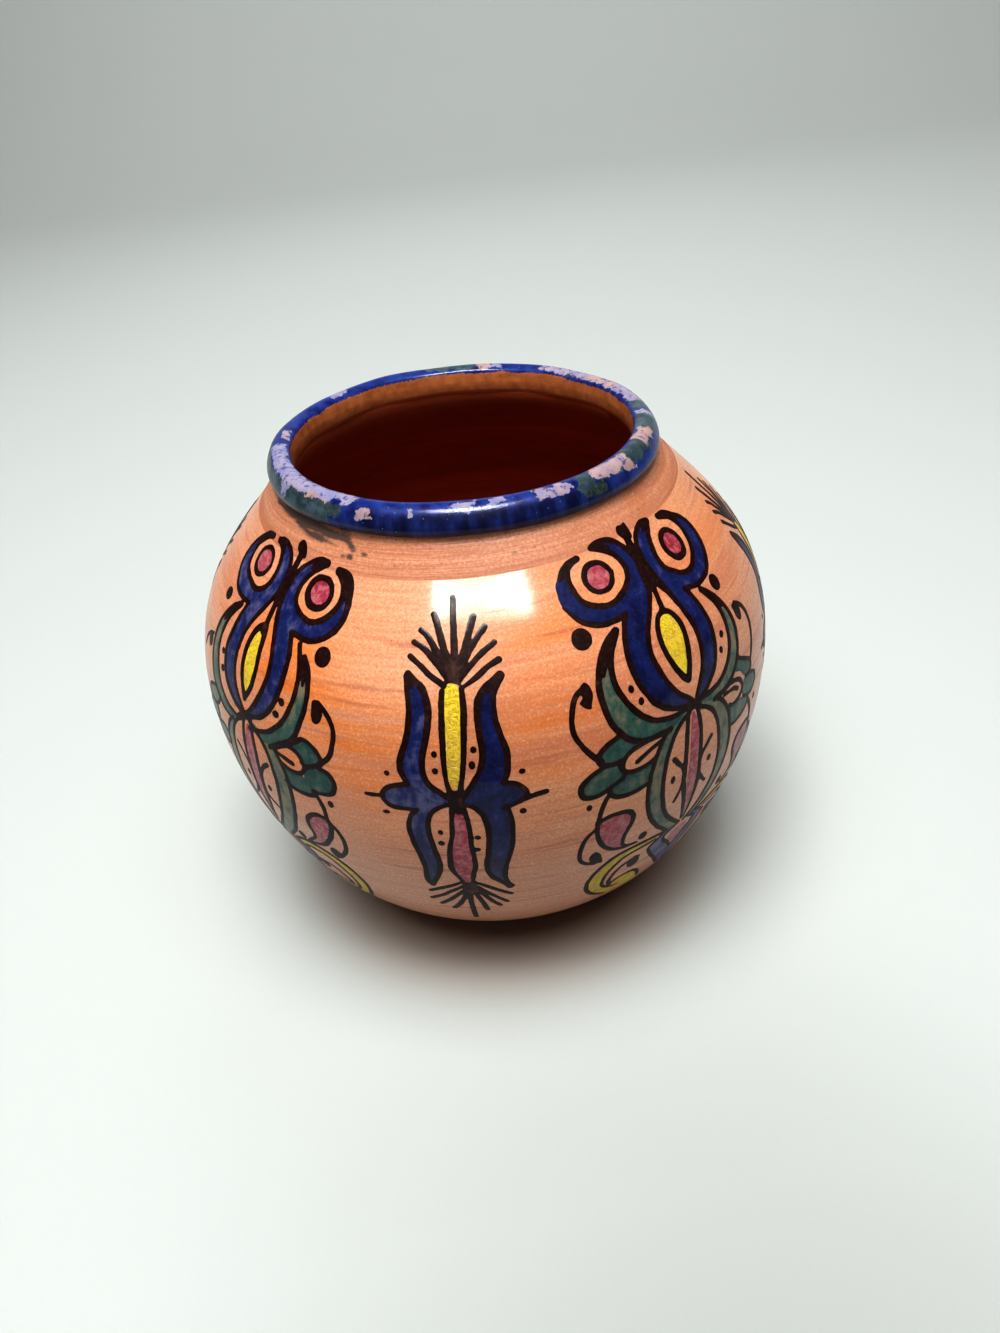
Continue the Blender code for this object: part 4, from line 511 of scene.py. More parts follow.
    ("line", (1.0, 1.0, 1.1, 0.9), [(-37.2, 27.4), (-36.0, 25.9), (-35.3, 24.0), (-35.1, 21.0), (-35.5, 18.4), (-36.5, 15.8), (-37.4, 13.8), (-38.8, 12.1), (-40.5, 11.1), (-42.8, 9.8), (-44.4, 8.8)]),
    ("line", (1.0, 1.5, 1.2, 0.4), [(-37.3, 27.3), (-36.9, 25.9), (-36.5, 24.3), (-36.5, 22.7)]),
    ("line", (0.6, 0.9, 0.8, 0.5), [(-38.3, 26.9), (-37.7, 25.9), (-37.2, 24.3)]),
    ("line", (0.9, 0.95, 0.95, 0.9), [(-32.5, 20.6), (-30.9, 19.4), (-29.6, 17.7), (-29.1, 15.8), (-29.5, 13.4), (-30.3, 11.4), (-31.9, 9.8), (-33.0, 8.8)]),
    ("fill", "dark", (0.1, 0.1), [(-33.8, 20.7), (-32.6, 20.9), (-31.7, 19.5), (-31.5, 18.4), (-32.4, 17.0), (-33.6, 17.2), (-33.9, 19.0)]),
    ("line", (0.6, 0.7, 0.6, 0.5), [(-69.3, 20.7), (-71.7, 19.7), (-73.7, 18.1), (-75.0, 15.8)]),
    ("fill", "dark", (0.6, 0.6), [(-72.1, 19.7), (-70.4, 20.5), (-69.1, 19.7), (-69.3, 18.1), (-70.6, 17.4), (-71.7, 18.1)]),
    ("fill", "green", (0.0, 0.0), [(-39.5, 11.0), (-37.3, 12.4), (-36.0, 13.3), (-34.2, 12.8), (-32.6, 11.4), (-32.1, 10.1), (-33.1, 9.0), (-35.4, 8.1), (-36.4, 8.6), (-37.2, 9.7), (-38.5, 10.4)]),
    ("line", (0.7, 0.9, 1.0, 0.9), [(-39.5, 11.0), (-37.3, 12.4), (-36.0, 13.3), (-34.2, 12.8), (-32.6, 11.4), (-32.1, 10.1), (-33.1, 9.0), (-35.4, 8.1), (-36.4, 8.6)]),
    ("line", (0.9, 0.9, 1.0, 0.9), [(-43.1, 9.1), (-41.1, 10.3), (-39.4, 10.9), (-37.4, 10.3), (-36.1, 8.7), (-36.0, 7.4), (-37.2, 6.1), (-39.4, 5.9), (-41.4, 6.5)]),
    ("line", (0.6, 0.8, 0.9, 0.95), [(-43.0, 8.7), (-41.5, 8.3), (-40.0, 7.9), (-38.7, 7.6)]),
    ("fill", "green", (0.0, 0.05), [(-32.5, 8.5), (-31.0, 8.1), (-30.0, 6.8), (-29.9, 5.4), (-30.9, 3.7), (-33.2, 3.0), (-35.2, 3.0), (-36.0, 4.1), (-36.4, 5.8), (-35.7, 7.3), (-34.2, 8.2)]),
    ("line", (0.9, 1.1, 0.9, 0.6), [(-32.5, 8.5), (-31.0, 8.1), (-30.0, 6.8), (-29.9, 5.4), (-30.9, 3.7), (-33.2, 3.0), (-35.2, 3.0)]),
    ("fill", "green", (0.15, 0.25), [(-34.7, 3.1), (-35.0, 2.1), (-36.4, 1.6), (-38.8, 1.6), (-40.8, 2.1), (-41.5, 2.7), (-41.6, 5.4), (-41.1, 5.9), (-39.3, 5.6), (-37.2, 5.8), (-36.0, 5.1)]),
    ("line", (0.9, 0.95, 0.9, 0.9), [(-34.7, 3.1), (-35.0, 2.1), (-36.4, 1.6), (-38.8, 1.6), (-40.8, 2.1), (-41.5, 2.7)]),
    ("fill", "green", (0.5, 0.5), [(-65.1, 12.0), (-67.8, 11.0), (-69.8, 9.6), (-70.1, 8.1), (-68.1, 7.4), (-65.5, 7.8), (-63.5, 9.1), (-62.8, 10.7)]),
    ("line", (0.5, 0.6, 0.6, 0.5), [(-65.1, 12.0), (-67.8, 11.0), (-69.8, 9.6), (-70.1, 8.1), (-68.1, 7.4), (-65.5, 7.8), (-63.5, 9.1), (-62.8, 10.7), (-65.1, 12.0)]),
    ("fill", "green", (0.45, 0.45), [(-67.8, 7.8), (-70.4, 6.4), (-72.1, 4.8), (-71.7, 3.1), (-69.4, 2.7), (-66.8, 3.8), (-65.1, 5.4), (-65.5, 7.4)]),
    ("line", (0.5, 0.6, 0.6, 0.5), [(-67.8, 7.8), (-70.4, 6.4), (-72.1, 4.8), (-71.7, 3.1), (-69.4, 2.7), (-66.8, 3.8), (-65.1, 5.4), (-65.5, 7.4), (-67.8, 7.8)]),
    ("fill", "green", (0.5, 0.5), [(-65.1, 4.1), (-67.1, 2.7), (-66.8, 0.8), (-64.5, 0.0), (-61.9, 0.5), (-60.5, 2.8), (-62.2, 4.5)]),
    ("line", (0.5, 0.6, 0.6, 0.5), [(-65.1, 4.1), (-67.1, 2.7), (-66.8, 0.8), (-64.5, 0.0), (-61.9, 0.5), (-60.5, 2.8), (-62.2, 4.5), (-65.1, 4.1)]),
    ("fill", "green", (0.75, 0.65), [(-43.1, 8.7), (-41.9, 6.6), (-41.1, 3.8), (-41.0, 0.8), (-41.3, -2.4), (-42.2, -5.7), (-43.6, -9.0), (-45.3, -12.2), (-47.6, -14.9), (-50.2, -17.4), (-53.3, -16.9), (-52.5, -15.8), (-50.9, -14.0), (-49.3, -11.7), (-47.6, -9.0), (-46.2, -5.7), (-45.2, -2.4), (-44.7, 0.5), (-44.8, 3.5), (-45.2, 6.4), (-46.3, 8.7), (-48.0, 10.4), (-50.2, 11.6), (-48.7, 11.7), (-45.4, 10.2)]),
    ("line", (0.9, 1.0, 0.9, 0.7), [(-43.1, 8.7), (-41.9, 6.6), (-41.1, 3.8), (-41.0, 0.8), (-41.3, -2.4), (-42.2, -5.7), (-43.6, -9.0), (-45.3, -12.2), (-47.6, -14.9), (-50.2, -17.4)]),
    ("line", (0.9, 1.0, 0.8, 0.7), [(-50.2, 11.6), (-48.0, 10.4), (-46.3, 8.7), (-45.2, 6.4), (-44.8, 3.5), (-44.7, 0.5), (-45.2, -2.4), (-46.2, -5.7), (-47.6, -9.0), (-49.3, -11.7), (-50.9, -14.0), (-52.5, -15.8), (-53.3, -16.9)]),
    ("fill", "green", (0.8, 0.75), [(-56.3, 9.7), (-58.2, 8.1), (-59.9, 5.4), (-61.0, 2.5), (-61.7, -0.8), (-61.8, -4.4), (-61.3, -7.7), (-60.2, -10.7), (-58.6, -13.6), (-56.6, -16.3), (-54.9, -17.9), (-53.6, -16.8), (-54.9, -14.6), (-56.1, -12.3), (-57.2, -9.4), (-58.1, -6.4), (-58.5, -3.1), (-58.4, 0.2), (-58.0, 3.5), (-57.1, 6.4), (-55.9, 8.7), (-54.0, 10.5), (-51.8, 11.5), (-53.0, 12.0), (-54.9, 10.9)]),
    ("line", (0.6, 0.6, 0.6, 0.5), [(-56.3, 9.7), (-58.2, 8.1), (-59.9, 5.4), (-61.0, 2.5), (-61.7, -0.8), (-61.8, -4.4), (-61.3, -7.7), (-60.2, -10.7), (-58.6, -13.6), (-56.6, -16.3), (-54.9, -17.9)]),
    ("line", (0.7, 0.8, 0.7, 0.6), [(-51.8, 11.5), (-54.0, 10.5), (-55.9, 8.7), (-57.1, 6.4), (-58.0, 3.5), (-58.4, 0.2), (-58.5, -3.1), (-58.1, -6.4), (-57.2, -9.4), (-56.1, -12.3), (-54.9, -14.6), (-53.6, -16.8)]),
    ("fill", "magenta", (0.65, 0.7), [(-50.8, 11.0), (-51.8, 9.1), (-52.4, 6.4), (-52.8, 3.5), (-53.0, 0.2), (-53.0, -3.1), (-52.8, -6.4), (-52.6, -9.7), (-52.7, -12.3), (-52.2, -9.7), (-51.3, -7.1), (-50.5, -4.4), (-50.2, -1.1), (-49.8, 2.2), (-49.7, 5.4), (-49.8, 8.7)]),
    ("line", (0.9, 0.9, 0.8, 0.5), [(-52.2, 11.2), (-52.6, 8.7), (-53.0, 5.8), (-53.2, 2.5), (-53.3, -0.8), (-53.3, -4.1), (-53.1, -7.4), (-52.8, -10.7), (-52.7, -14.0)]),
    ("line", (0.9, 1.0, 1.2, 0.5), [(-49.8, 11.4), (-49.5, 8.7), (-49.4, 5.4), (-49.7, 2.2), (-50.0, -1.1), (-50.3, -4.4), (-50.8, -7.4), (-51.7, -10.7), (-52.6, -13.6)]),
    ("line", (0.6, 0.8, 0.9, 0.95), [(-49.8, -1.5), (-49.3, 0.7), (-48.0, 2.7), (-46.3, 4.1)]),
    ("line", (0.6, 0.6, 0.6, 0.6), [(-53.2, -1.5), (-53.8, 0.8), (-54.9, 2.8), (-56.3, 4.5)]),
    ("line", (0.4, 0.6, 0.6, 0.6), [(-50.3, -3.8), (-49.5, -5.4), (-48.5, -6.4), (-47.4, -7.1)]),
    ("line", (0.4, 0.6, 0.6, 0.6), [(-53.2, -3.8), (-54.0, -5.7), (-54.8, -7.1), (-55.8, -8.0)]),
    ("dot", (-48.0, -2.4), (0.6, 0.8)),
    ("dot", (-55.3, -2.4), (0.55, 0.7)),
    ("line", (1.3, 1.7, 1.5, 1.0), [(-54.1, 10.9), (-52.5, 11.8), (-51.3, 12.2), (-49.7, 12.0)]),
    ("line", (0.8, 0.95, 0.9, 0.9), [(-34.5, 2.5), (-33.7, 0.5), (-33.4, -1.5), (-33.6, -3.4)]),
    ("fill", "magenta", (0.4, 0.85), [(-33.5, -3.3), (-35.5, -2.9), (-37.4, -3.8), (-38.8, -5.4), (-39.2, -7.7), (-38.8, -9.7), (-39.6, -11.4), (-41.1, -12.7), (-42.4, -14.0), (-42.4, -14.0), (-39.4, -13.3), (-37.1, -12.0), (-35.5, -10.1), (-34.0, -7.7), (-33.2, -5.1), (-33.5, -3.3)]),
    ("line", (0.9, 1.0, 0.8, 0.5), [(-33.5, -3.3), (-35.5, -2.9), (-37.4, -3.8), (-38.8, -5.4), (-39.2, -7.7), (-38.8, -9.7), (-39.6, -11.4), (-41.1, -12.7), (-42.4, -14.0)]),
    ("line", (1.0, 1.1, 1.1, 0.6), [(-33.5, -3.3), (-33.2, -5.1), (-34.0, -7.7), (-35.5, -10.1), (-37.1, -12.0), (-39.4, -13.3), (-42.4, -14.0)]),
    ("line", (0.8, 0.9, 0.9, 0.9), [(-33.2, -3.8), (-31.9, -5.8), (-31.4, -8.4), (-31.9, -11.1), (-33.2, -13.4), (-34.5, -14.7)]),
    ("fill", "dark", (0.35, 0.35), [(-35.4, -12.2), (-34.1, -13.0), (-33.7, -14.3), (-34.5, -15.3), (-35.8, -15.9), (-36.5, -14.6), (-36.4, -13.1)]),
    ("dot", (-31.6, 1.2), (0.6, 0.75)),
    ("dot", (-43.8, -13.1), (1.0, 1.2)),
    ("fill", "yellow", (0.6, 0.7), [(-47.7, -16.8), (-45.4, -15.4), (-42.9, -14.8), (-40.4, -14.8), (-37.8, -15.6), (-35.5, -17.3), (-33.8, -19.9), (-33.0, -23.2), (-33.2, -26.8), (-34.5, -30.4), (-36.5, -33.7), (-38.8, -35.3), (-40.0, -32.7), (-38.4, -31.4), (-36.5, -28.1), (-35.9, -24.8), (-36.3, -21.9), (-37.6, -19.2), (-39.6, -17.4), (-41.8, -16.9), (-44.1, -17.2), (-46.2, -18.4)]),
    ("line", (0.9, 0.9, 0.9, 0.8), [(-47.7, -16.8), (-45.4, -15.4), (-42.9, -14.8), (-40.4, -14.8), (-37.8, -15.6), (-35.5, -17.3), (-33.8, -19.9), (-33.0, -23.2), (-33.2, -26.8), (-34.5, -30.4), (-36.5, -33.7)]),
    ("line", (0.7, 0.8, 0.8, 0.7), [(-46.2, -18.4), (-44.1, -17.2), (-41.8, -16.9), (-39.6, -17.4), (-37.6, -19.2), (-36.3, -21.9), (-35.9, -24.8), (-36.5, -28.1), (-38.4, -31.4), (-40.0, -32.7)]),
    ("line", (0.6, 0.8, 0.8, 0.8), [(-43.6, -22.3), (-41.8, -21.9), (-40.1, -22.8), (-38.8, -25.1), (-38.5, -27.8), (-39.5, -30.2)]),
    ("fill", "dark", (0.5, 0.5), [(-44.4, -21.9), (-43.1, -21.4), (-42.1, -22.3), (-42.4, -24.2), (-43.6, -25.1), (-44.8, -24.2), (-44.9, -22.8)]),
    ("fill", "yellow", (0.6, 0.6), [(-39.8, -29.8), (-41.6, -28.8), (-43.6, -28.8), (-45.4, -30.1), (-46.7, -32.4), (-47.4, -35.0), (-44.4, -36.3), (-41.1, -34.4)]),
    ("line", (0.7, 0.8, 0.8, 0.7), [(-39.8, -29.8), (-41.6, -28.8), (-43.6, -28.8), (-45.4, -30.1), (-46.7, -32.4), (-47.4, -35.0)]),
    ("fill", "blue", (0.75, 0.85), [(-48.0, -17.1), (-45.9, -18.7), (-44.9, -20.5), (-45.4, -22.5), (-46.6, -24.8), (-48.2, -27.8), (-49.7, -30.4), (-51.0, -33.0), (-51.8, -33.7), (-51.5, -26.8), (-50.5, -25.1), (-49.4, -23.5), (-48.4, -21.9), (-48.1, -20.2), (-49.0, -18.9), (-50.7, -17.6)]),
    ("line", (0.7, 0.8, 0.8, 0.8), [(-48.0, -17.1), (-45.9, -18.7), (-44.9, -20.5), (-45.4, -22.5), (-46.6, -24.8), (-48.2, -27.8), (-49.7, -30.4), (-51.0, -33.0)]),
    ("line", (0.7, 0.8, 0.8, 0.6), [(-50.7, -17.6), (-49.0, -18.9), (-48.1, -20.2), (-48.4, -21.9), (-49.4, -23.5), (-50.5, -25.1), (-51.5, -26.8)]),
    ("fill", "yellow", (0.6, 0.7), [(-55.9, -16.8), (-58.2, -15.4), (-60.7, -14.8), (-63.2, -14.8), (-65.8, -15.6), (-68.2, -17.3), (-69.8, -19.9), (-70.6, -23.2), (-70.4, -26.8), (-69.2, -30.4), (-67.1, -33.7), (-64.8, -35.3), (-63.7, -32.7), (-65.2, -31.4), (-67.1, -28.1), (-67.8, -24.8), (-67.4, -21.9), (-66.1, -19.2), (-64.1, -17.4), (-61.9, -16.9), (-59.6, -17.2), (-57.4, -18.4)]),
    ("line", (0.9, 0.9, 0.9, 0.8), [(-55.9, -16.8), (-58.2, -15.4), (-60.7, -14.8), (-63.2, -14.8), (-65.8, -15.6), (-68.2, -17.3), (-69.8, -19.9), (-70.6, -23.2), (-70.4, -26.8), (-69.2, -30.4), (-67.1, -33.7)]),
    ("line", (0.7, 0.8, 0.8, 0.7), [(-57.4, -18.4), (-59.6, -17.2), (-61.9, -16.9), (-64.1, -17.4), (-66.1, -19.2), (-67.4, -21.9), (-67.8, -24.8), (-67.1, -28.1), (-65.2, -31.4), (-63.7, -32.7)]),
    ("line", (0.6, 0.8, 0.8, 0.8), [(-60.0, -22.3), (-61.9, -21.9), (-63.5, -22.8), (-64.8, -25.1), (-65.1, -27.8), (-64.2, -30.2)]),
    ("fill", "dark", (0.5, 0.5), [(-59.2, -21.9), (-60.5, -21.4), (-61.5, -22.3), (-61.2, -24.2), (-60.0, -25.1), (-58.9, -24.2), (-58.7, -22.8)]),
    ("fill", "yellow", (0.6, 0.6), [(-63.8, -29.8), (-62.0, -28.8), (-60.0, -28.8), (-58.2, -30.1), (-56.9, -32.4), (-56.3, -35.0), (-59.2, -36.3), (-62.5, -34.4)]),
    ("line", (0.7, 0.8, 0.8, 0.7), [(-63.8, -29.8), (-62.0, -28.8), (-60.0, -28.8), (-58.2, -30.1), (-56.9, -32.4), (-56.3, -35.0)]),
    ("fill", "blue", (0.75, 0.85), [(-55.6, -17.1), (-57.7, -18.7), (-58.7, -20.5), (-58.2, -22.5), (-57.1, -24.8), (-55.4, -27.8), (-54.0, -30.4), (-52.6, -33.0), (-51.9, -33.7), (-52.2, -26.8), (-53.1, -25.1), (-54.3, -23.5), (-55.2, -21.9), (-55.5, -20.2), (-54.6, -18.9), (-53.0, -17.6)]),
    ("line", (0.7, 0.8, 0.8, 0.8), [(-55.6, -17.1), (-57.7, -18.7), (-58.7, -20.5), (-58.2, -22.5), (-57.1, -24.8), (-55.4, -27.8), (-54.0, -30.4), (-52.6, -33.0)]),
    ("line", (0.7, 0.8, 0.8, 0.6), [(-53.0, -17.6), (-54.6, -18.9), (-55.5, -20.2), (-55.2, -21.9), (-54.3, -23.5), (-53.1, -25.1), (-52.2, -26.8)]),
    ("fill", "magenta", (0.9, 0.9), [(-51.8, -19.2), (-50.0, -19.6), (-49.3, -21.0), (-50.1, -23.0), (-51.8, -25.5), (-53.6, -23.0), (-54.4, -21.0), (-53.6, -19.6)]),
]


# ------------------------------------------------------------------ paint films
CELL = 0.0040  # the drawing grid's pitch, in radians of azimuth: 0.28 mm at the belly
POOL = 0.10  # how far, in mm, wet ink fills the corner between two strokes
FLOOR = -0.06 * MM  # the underside of every film, let into the clay
FILM = {  # height in mm at a stroke's edge and inside it
    "blue": (0.010, 0.030),
    "green": (0.012, 0.033),
    "yellow": (0.014, 0.042),
    "magenta": (0.016, 0.038),
    "dark": (0.048, 0.085),
}
# marching squares: corners c0..c3 anticlockwise from the lower left, and crossings e0 on c0-c1,
# e1 on c1-c2, e2 on c2-c3 and e3 on c3-c0
CASES = {
    1: [("c0", "e0", "e3")],
    2: [("c1", "e1", "e0")],
    3: [("c0", "c1", "e1", "e3")],
    4: [("c2", "e2", "e1")],
    5: [("c0", "e0", "e3"), ("c2", "e2", "e1")],
    6: [("c1", "c2", "e2", "e0")],
    7: [("c0", "c1", "c2", "e2", "e3")],
    8: [("c3", "e3", "e2")],
    9: [("c0", "e0", "e2", "c3")],
    10: [("c1", "e1", "e0"), ("c3", "e3", "e2")],
    11: [("c0", "c1", "e1", "e2", "c3")],
    12: [("c2", "c3", "e3", "e1")],
    13: [("c0", "e0", "e1", "c2", "c3")],
    14: [("c1", "c2", "c3", "e3", "e0")],
    15: [("c0", "c1", "c2", "c3")],
}


def chart(points):
    """(azimuth, latitude) in degrees to the drawing chart, which keeps shapes true."""
    p = np.radians(np.array(points, float))
    return np.stack([p[:, 0], np.arcsinh(np.tan(p[:, 1]))], 1)


def per_unit(v):
    """Millimetres on the globe for one chart unit at a chart height."""
    return BELLY_R / MM / np.cosh(v)


def to_segments(u, v, line):
    """Distance from each grid point to a broken line, and how far along the nearest place is."""
    best = np.full(u.shape, 1e9)
    along = np.zeros(u.shape)
    total = len(line) - 1
    for k in range(total):
        (x0, y0), (x1, y1) = line[k], line[k + 1]
        dx, dy = x1 - x0, y1 - y0
        t = np.clip(((u - x0) * dx + (v - y0) * dy) / max(dx * dx + dy * dy, 1e-12), 0, 1)
        d = np.hypot(u - x0 - t * dx, v - y0 - t * dy)
        near = d < best
        best = np.where(near, d, best)
        along = np.where(near, (k + t) / total, along)
    return best, along


def within(u, v, loop):
    """True where a grid point lies inside a closed outline."""
    inside = np.zeros(u.shape, bool)
    for (x0, y0), (x1, y1) in zip(loop, np.roll(loop, -1, axis=0)):
        if y0 == y1:
            continue
        crosses = ((y0 > v) != (y1 > v)) & (u < (x1 - x0) * (v - y0) / (y1 - y0) + x0)
        inside ^= crosses
    return inside


def shape_distance(item, u, v):
    """Signed distance in mm, positive inside one painted shape, and its tone."""
    scale = per_unit(v)
    if item[0] == "fill":
        loop = curve_through(chart(item[3]), closed=True, pieces=5)
        d, _ = to_segments(u, v, np.vstack([loop, loop[:1]]))
        low, high = loop[:, 1].min(), loop[:, 1].max()
        share = np.clip((high - v) / max(high - low, 1e-6), 0, 1)
        tone = item[2][0] + (item[2][1] - item[2][0]) * share
        return np.where(within(u, v, loop), d, -d) * scale, tone
    if item[0] == "line":
        line = curve_through(chart(item[2]), pieces=6)
        d, along = to_segments(u, v, line)
        half = np.interp(along, np.linspace(0, 1, len(item[1])), item[1]) / 2 + 0.13
        return half - d * scale, np.full(u.shape, 0.2)
    (centre,) = chart([item[1]])
    rx, ry = item[2]
    x, y = (u - centre[0]) * scale, (v - centre[1]) * scale
    rx, ry = rx * 1.12 + 0.05, ry * 1.12 + 0.05
    far = np.hypot(x / rx, y / ry)
    return (1 - far) * min(rx, ry), np.full(u.shape, 0.2)


def colour_of(item):
    return item[1] if item[0] == "fill" else "dark"


def reach_of(item):
    """The shape's own box on the chart, with room for its brush width."""
    if item[0] == "dot":
        (c,) = chart([item[1]])
        pad = max(item[2]) / 55 + 0.015
        return c[0] - pad, c[0] + pad, c[1] - pad, c[1] + pad
    p = chart(item[3] if item[0] == "fill" else item[2])
    pad = 0.035
    return p[:, 0].min() - pad, p[:, 0].max() + pad, p[:, 1].min() - pad, p[:, 1].max() + pad


def repainted(items, turn, hand):
    """The same motif at another azimuth, as the same hand paints it again: never quite alike."""
    if turn == 0:
        return items

    def moved(p):
        a, t = p
        a0 = a + 0.42 * float(rough(a / 5.0, t / 6.0, hand)) + 0.18 * float(rough(a / 2.2, t / 2.2, hand + 5))
        t0 = t + 0.42 * float(rough(a / 6.0, t / 5.0, hand + 9)) + 0.18 * float(rough(a / 2.2, t / 2.2, hand + 7))
        return (a0 + turn, t0)

    out = []
    for item in items:
        if item[0] == "fill":
            out.append(item[:3] + ([moved(p) for p in item[3]],))
        elif item[0] == "line":
            out.append(item[:2] + ([moved(p) for p in item[2]],))
        else:
            out.append((item[0], moved(item[1]), item[2]))
    return out


def paint_motif(name, items, hand):
    """Every colour of one motif as its own closed film."""
    boxes = [reach_of(item) for item in items]
    u0, v0 = min(b[0] for b in boxes), min(b[2] for b in boxes)
    cols = int(math.ceil((max(b[1] for b in boxes) - u0) / CELL)) + 1
    rows = int(math.ceil((max(b[3] for b in boxes) - v0) / CELL)) + 1
    us, vs = u0 + CELL * np.arange(cols), v0 + CELL * np.arange(rows)
    inside = {c: np.full((rows, cols), -9.0) for c in FILM}
    tones = {c: np.full((rows, cols), 0.5) for c in FILM}
    for item, (a, b, c, d) in zip(items, boxes):
        i0, i1 = max(0, int((c - v0) / CELL)), min(rows, int((d - v0) / CELL) + 2)
        j0, j1 = max(0, int((a - u0) / CELL)), min(cols, int((b - u0) / CELL) + 2)
        u, v = np.meshgrid(us[j0:j1], vs[i0:i1])
        near, tone = shape_distance(item, u, v)
        colour = colour_of(item)
        part, part_tone = inside[colour][i0:i1, j0:j1], tones[colour][i0:i1, j0:j1]
        wins = near > part
        part_tone[wins] = tone[wins]
        if colour == "dark":
            # ink runs together where two strokes meet
            part[:] = np.maximum(near, part) + POOL * np.log1p(np.exp(-np.abs(near - part) / POOL))
        else:
            part[wins] = near[wins]
    u, v = np.meshgrid(us, vs)
    made = []
    for number, colour in enumerate(FILM):
        field = inside[colour]
        if field.max() < 0.05:
            continue
        x, y = u * 70, v * 70
        # the brush's edge: a slow wander of the hand and the fine drag of the bristles
        seed = hand * 31 + number
        field = field + 0.07 * rough(x / 1.9, y / 1.9, seed) + 0.045 * rough(x / 0.75, y / 0.75, seed + 3)
        field[:2], field[-2:], field[:, :2], field[:, -2:] = -9.0, -9.0, -9.0, -9.0
        made.append(film(f"{name}_{colour}", field, tones[colour], u, v, colour))
    return made


def film(name, field, tone, u, v, colour):
    """The closed solid of one colour: its top sheet, its thin edge and its underside."""
    rows, cols = field.shape
    on = field > 0
    where = {"c": np.arange(rows * cols).reshape(rows, cols)}
    pu, pv, pd, pt = [u.ravel()], [v.ravel()], [field.ravel()], [tone.ravel()]
    count = rows * cols

    def crossings(a, b):
        """Points where the edge from grid slice a to grid slice b crosses the outline."""
        nonlocal count
        fa, fb = field[a], field[b]
        cut = on[a] != on[b]
        index = np.full(fa.shape, -1)
        index[cut] = count + np.arange(cut.sum())
        count += int(cut.sum())
        t = np.clip(fa[cut] / (fa[cut] - fb[cut]), 0.08, 0.92)
        pu.append(u[a][cut] + t * (u[b][cut] - u[a][cut]))
        pv.append(v[a][cut] + t * (v[b][cut] - v[a][cut]))
        pd.append(np.zeros(len(t)))
        pt.append(np.where(on[a][cut], tone[a][cut], tone[b][cut]))
        return index

    full = slice(None)
    flat = crossings((full, slice(0, -1)), (full, slice(1, None)))
    tall = crossings((slice(0, -1), full), (slice(1, None), full))
    grid = where["c"]
    key = {
        "c0": grid[:-1, :-1],
        "c1": grid[:-1, 1:],
        "c2": grid[1:, 1:],
        "c3": grid[1:, :-1],
        "e0": flat[:-1],
        "e1": tall[:, 1:],
        "e2": flat[1:],
        "e3": tall[:, :-1],
    }
    case = (
        on[:-1, :-1] * 1 + on[:-1, 1:] * 2 + on[1:, 1:] * 4 + on[1:, :-1] * 8
    )
    tops, walls = [], []
    for number, polygons in CASES.items():
        cells = case == number
        if not cells.any():
            continue
        for polygon in polygons:
            face = np.stack([key[corner][cells] for corner in polygon], 1)
            tops.append(face)
            for k, corner in enumerate(polygon):
                following = polygon[(k + 1) % len(polygon)]
                if corner[0] == "e" and following[0] == "e":
                    walls.append(face[:, [k, (k + 1) % len(polygon)]])
    used = np.unique(np.concatenate([f.ravel() for f in tops]))
    fresh = np.full(count, -1)
    fresh[used] = np.arange(len(used))
    pu, pv, pd, pt = (np.concatenate(p)[used] for p in (pu, pv, pd, pt))
    low, high = FILM[colour]
    grain = rough(pu * 70 / 1.3, pv * 70 / 1.3, len(name) * 7 + 1)
    deep = step(pd, 0.0, 0.35)
    height = (low + (high - low) * deep * (0.85 + 0.15 * grain)) * MM
    lat = np.degrees(np.arctan(np.sinh(pv)))
    top = on_globe(pu, lat, height)
    under = on_globe(pu, lat, FLOOR)
    total = len(used)
    faces = [fresh[f] for f in tops]
    below = [f[:, ::-1] + total for f in faces]
    edge = fresh[np.concatenate(walls)]
    sides = np.stack([edge[:, 1], edge[:, 0], edge[:, 0] + total, edge[:, 1] + total], 1)
    values = {"tone": np.concatenate([pt, pt]), "edge": np.concatenate([pd, pd])}
    by_size = {}
    for f in faces + below + [sides]:
        by_size.setdefault(f.shape[1], []).append(f)
    stacked = [np.concatenate(group) for _, group in sorted(by_size.items())]
    return fast_mesh(name, np.concatenate([top, under]), stacked, values, sharp=35)


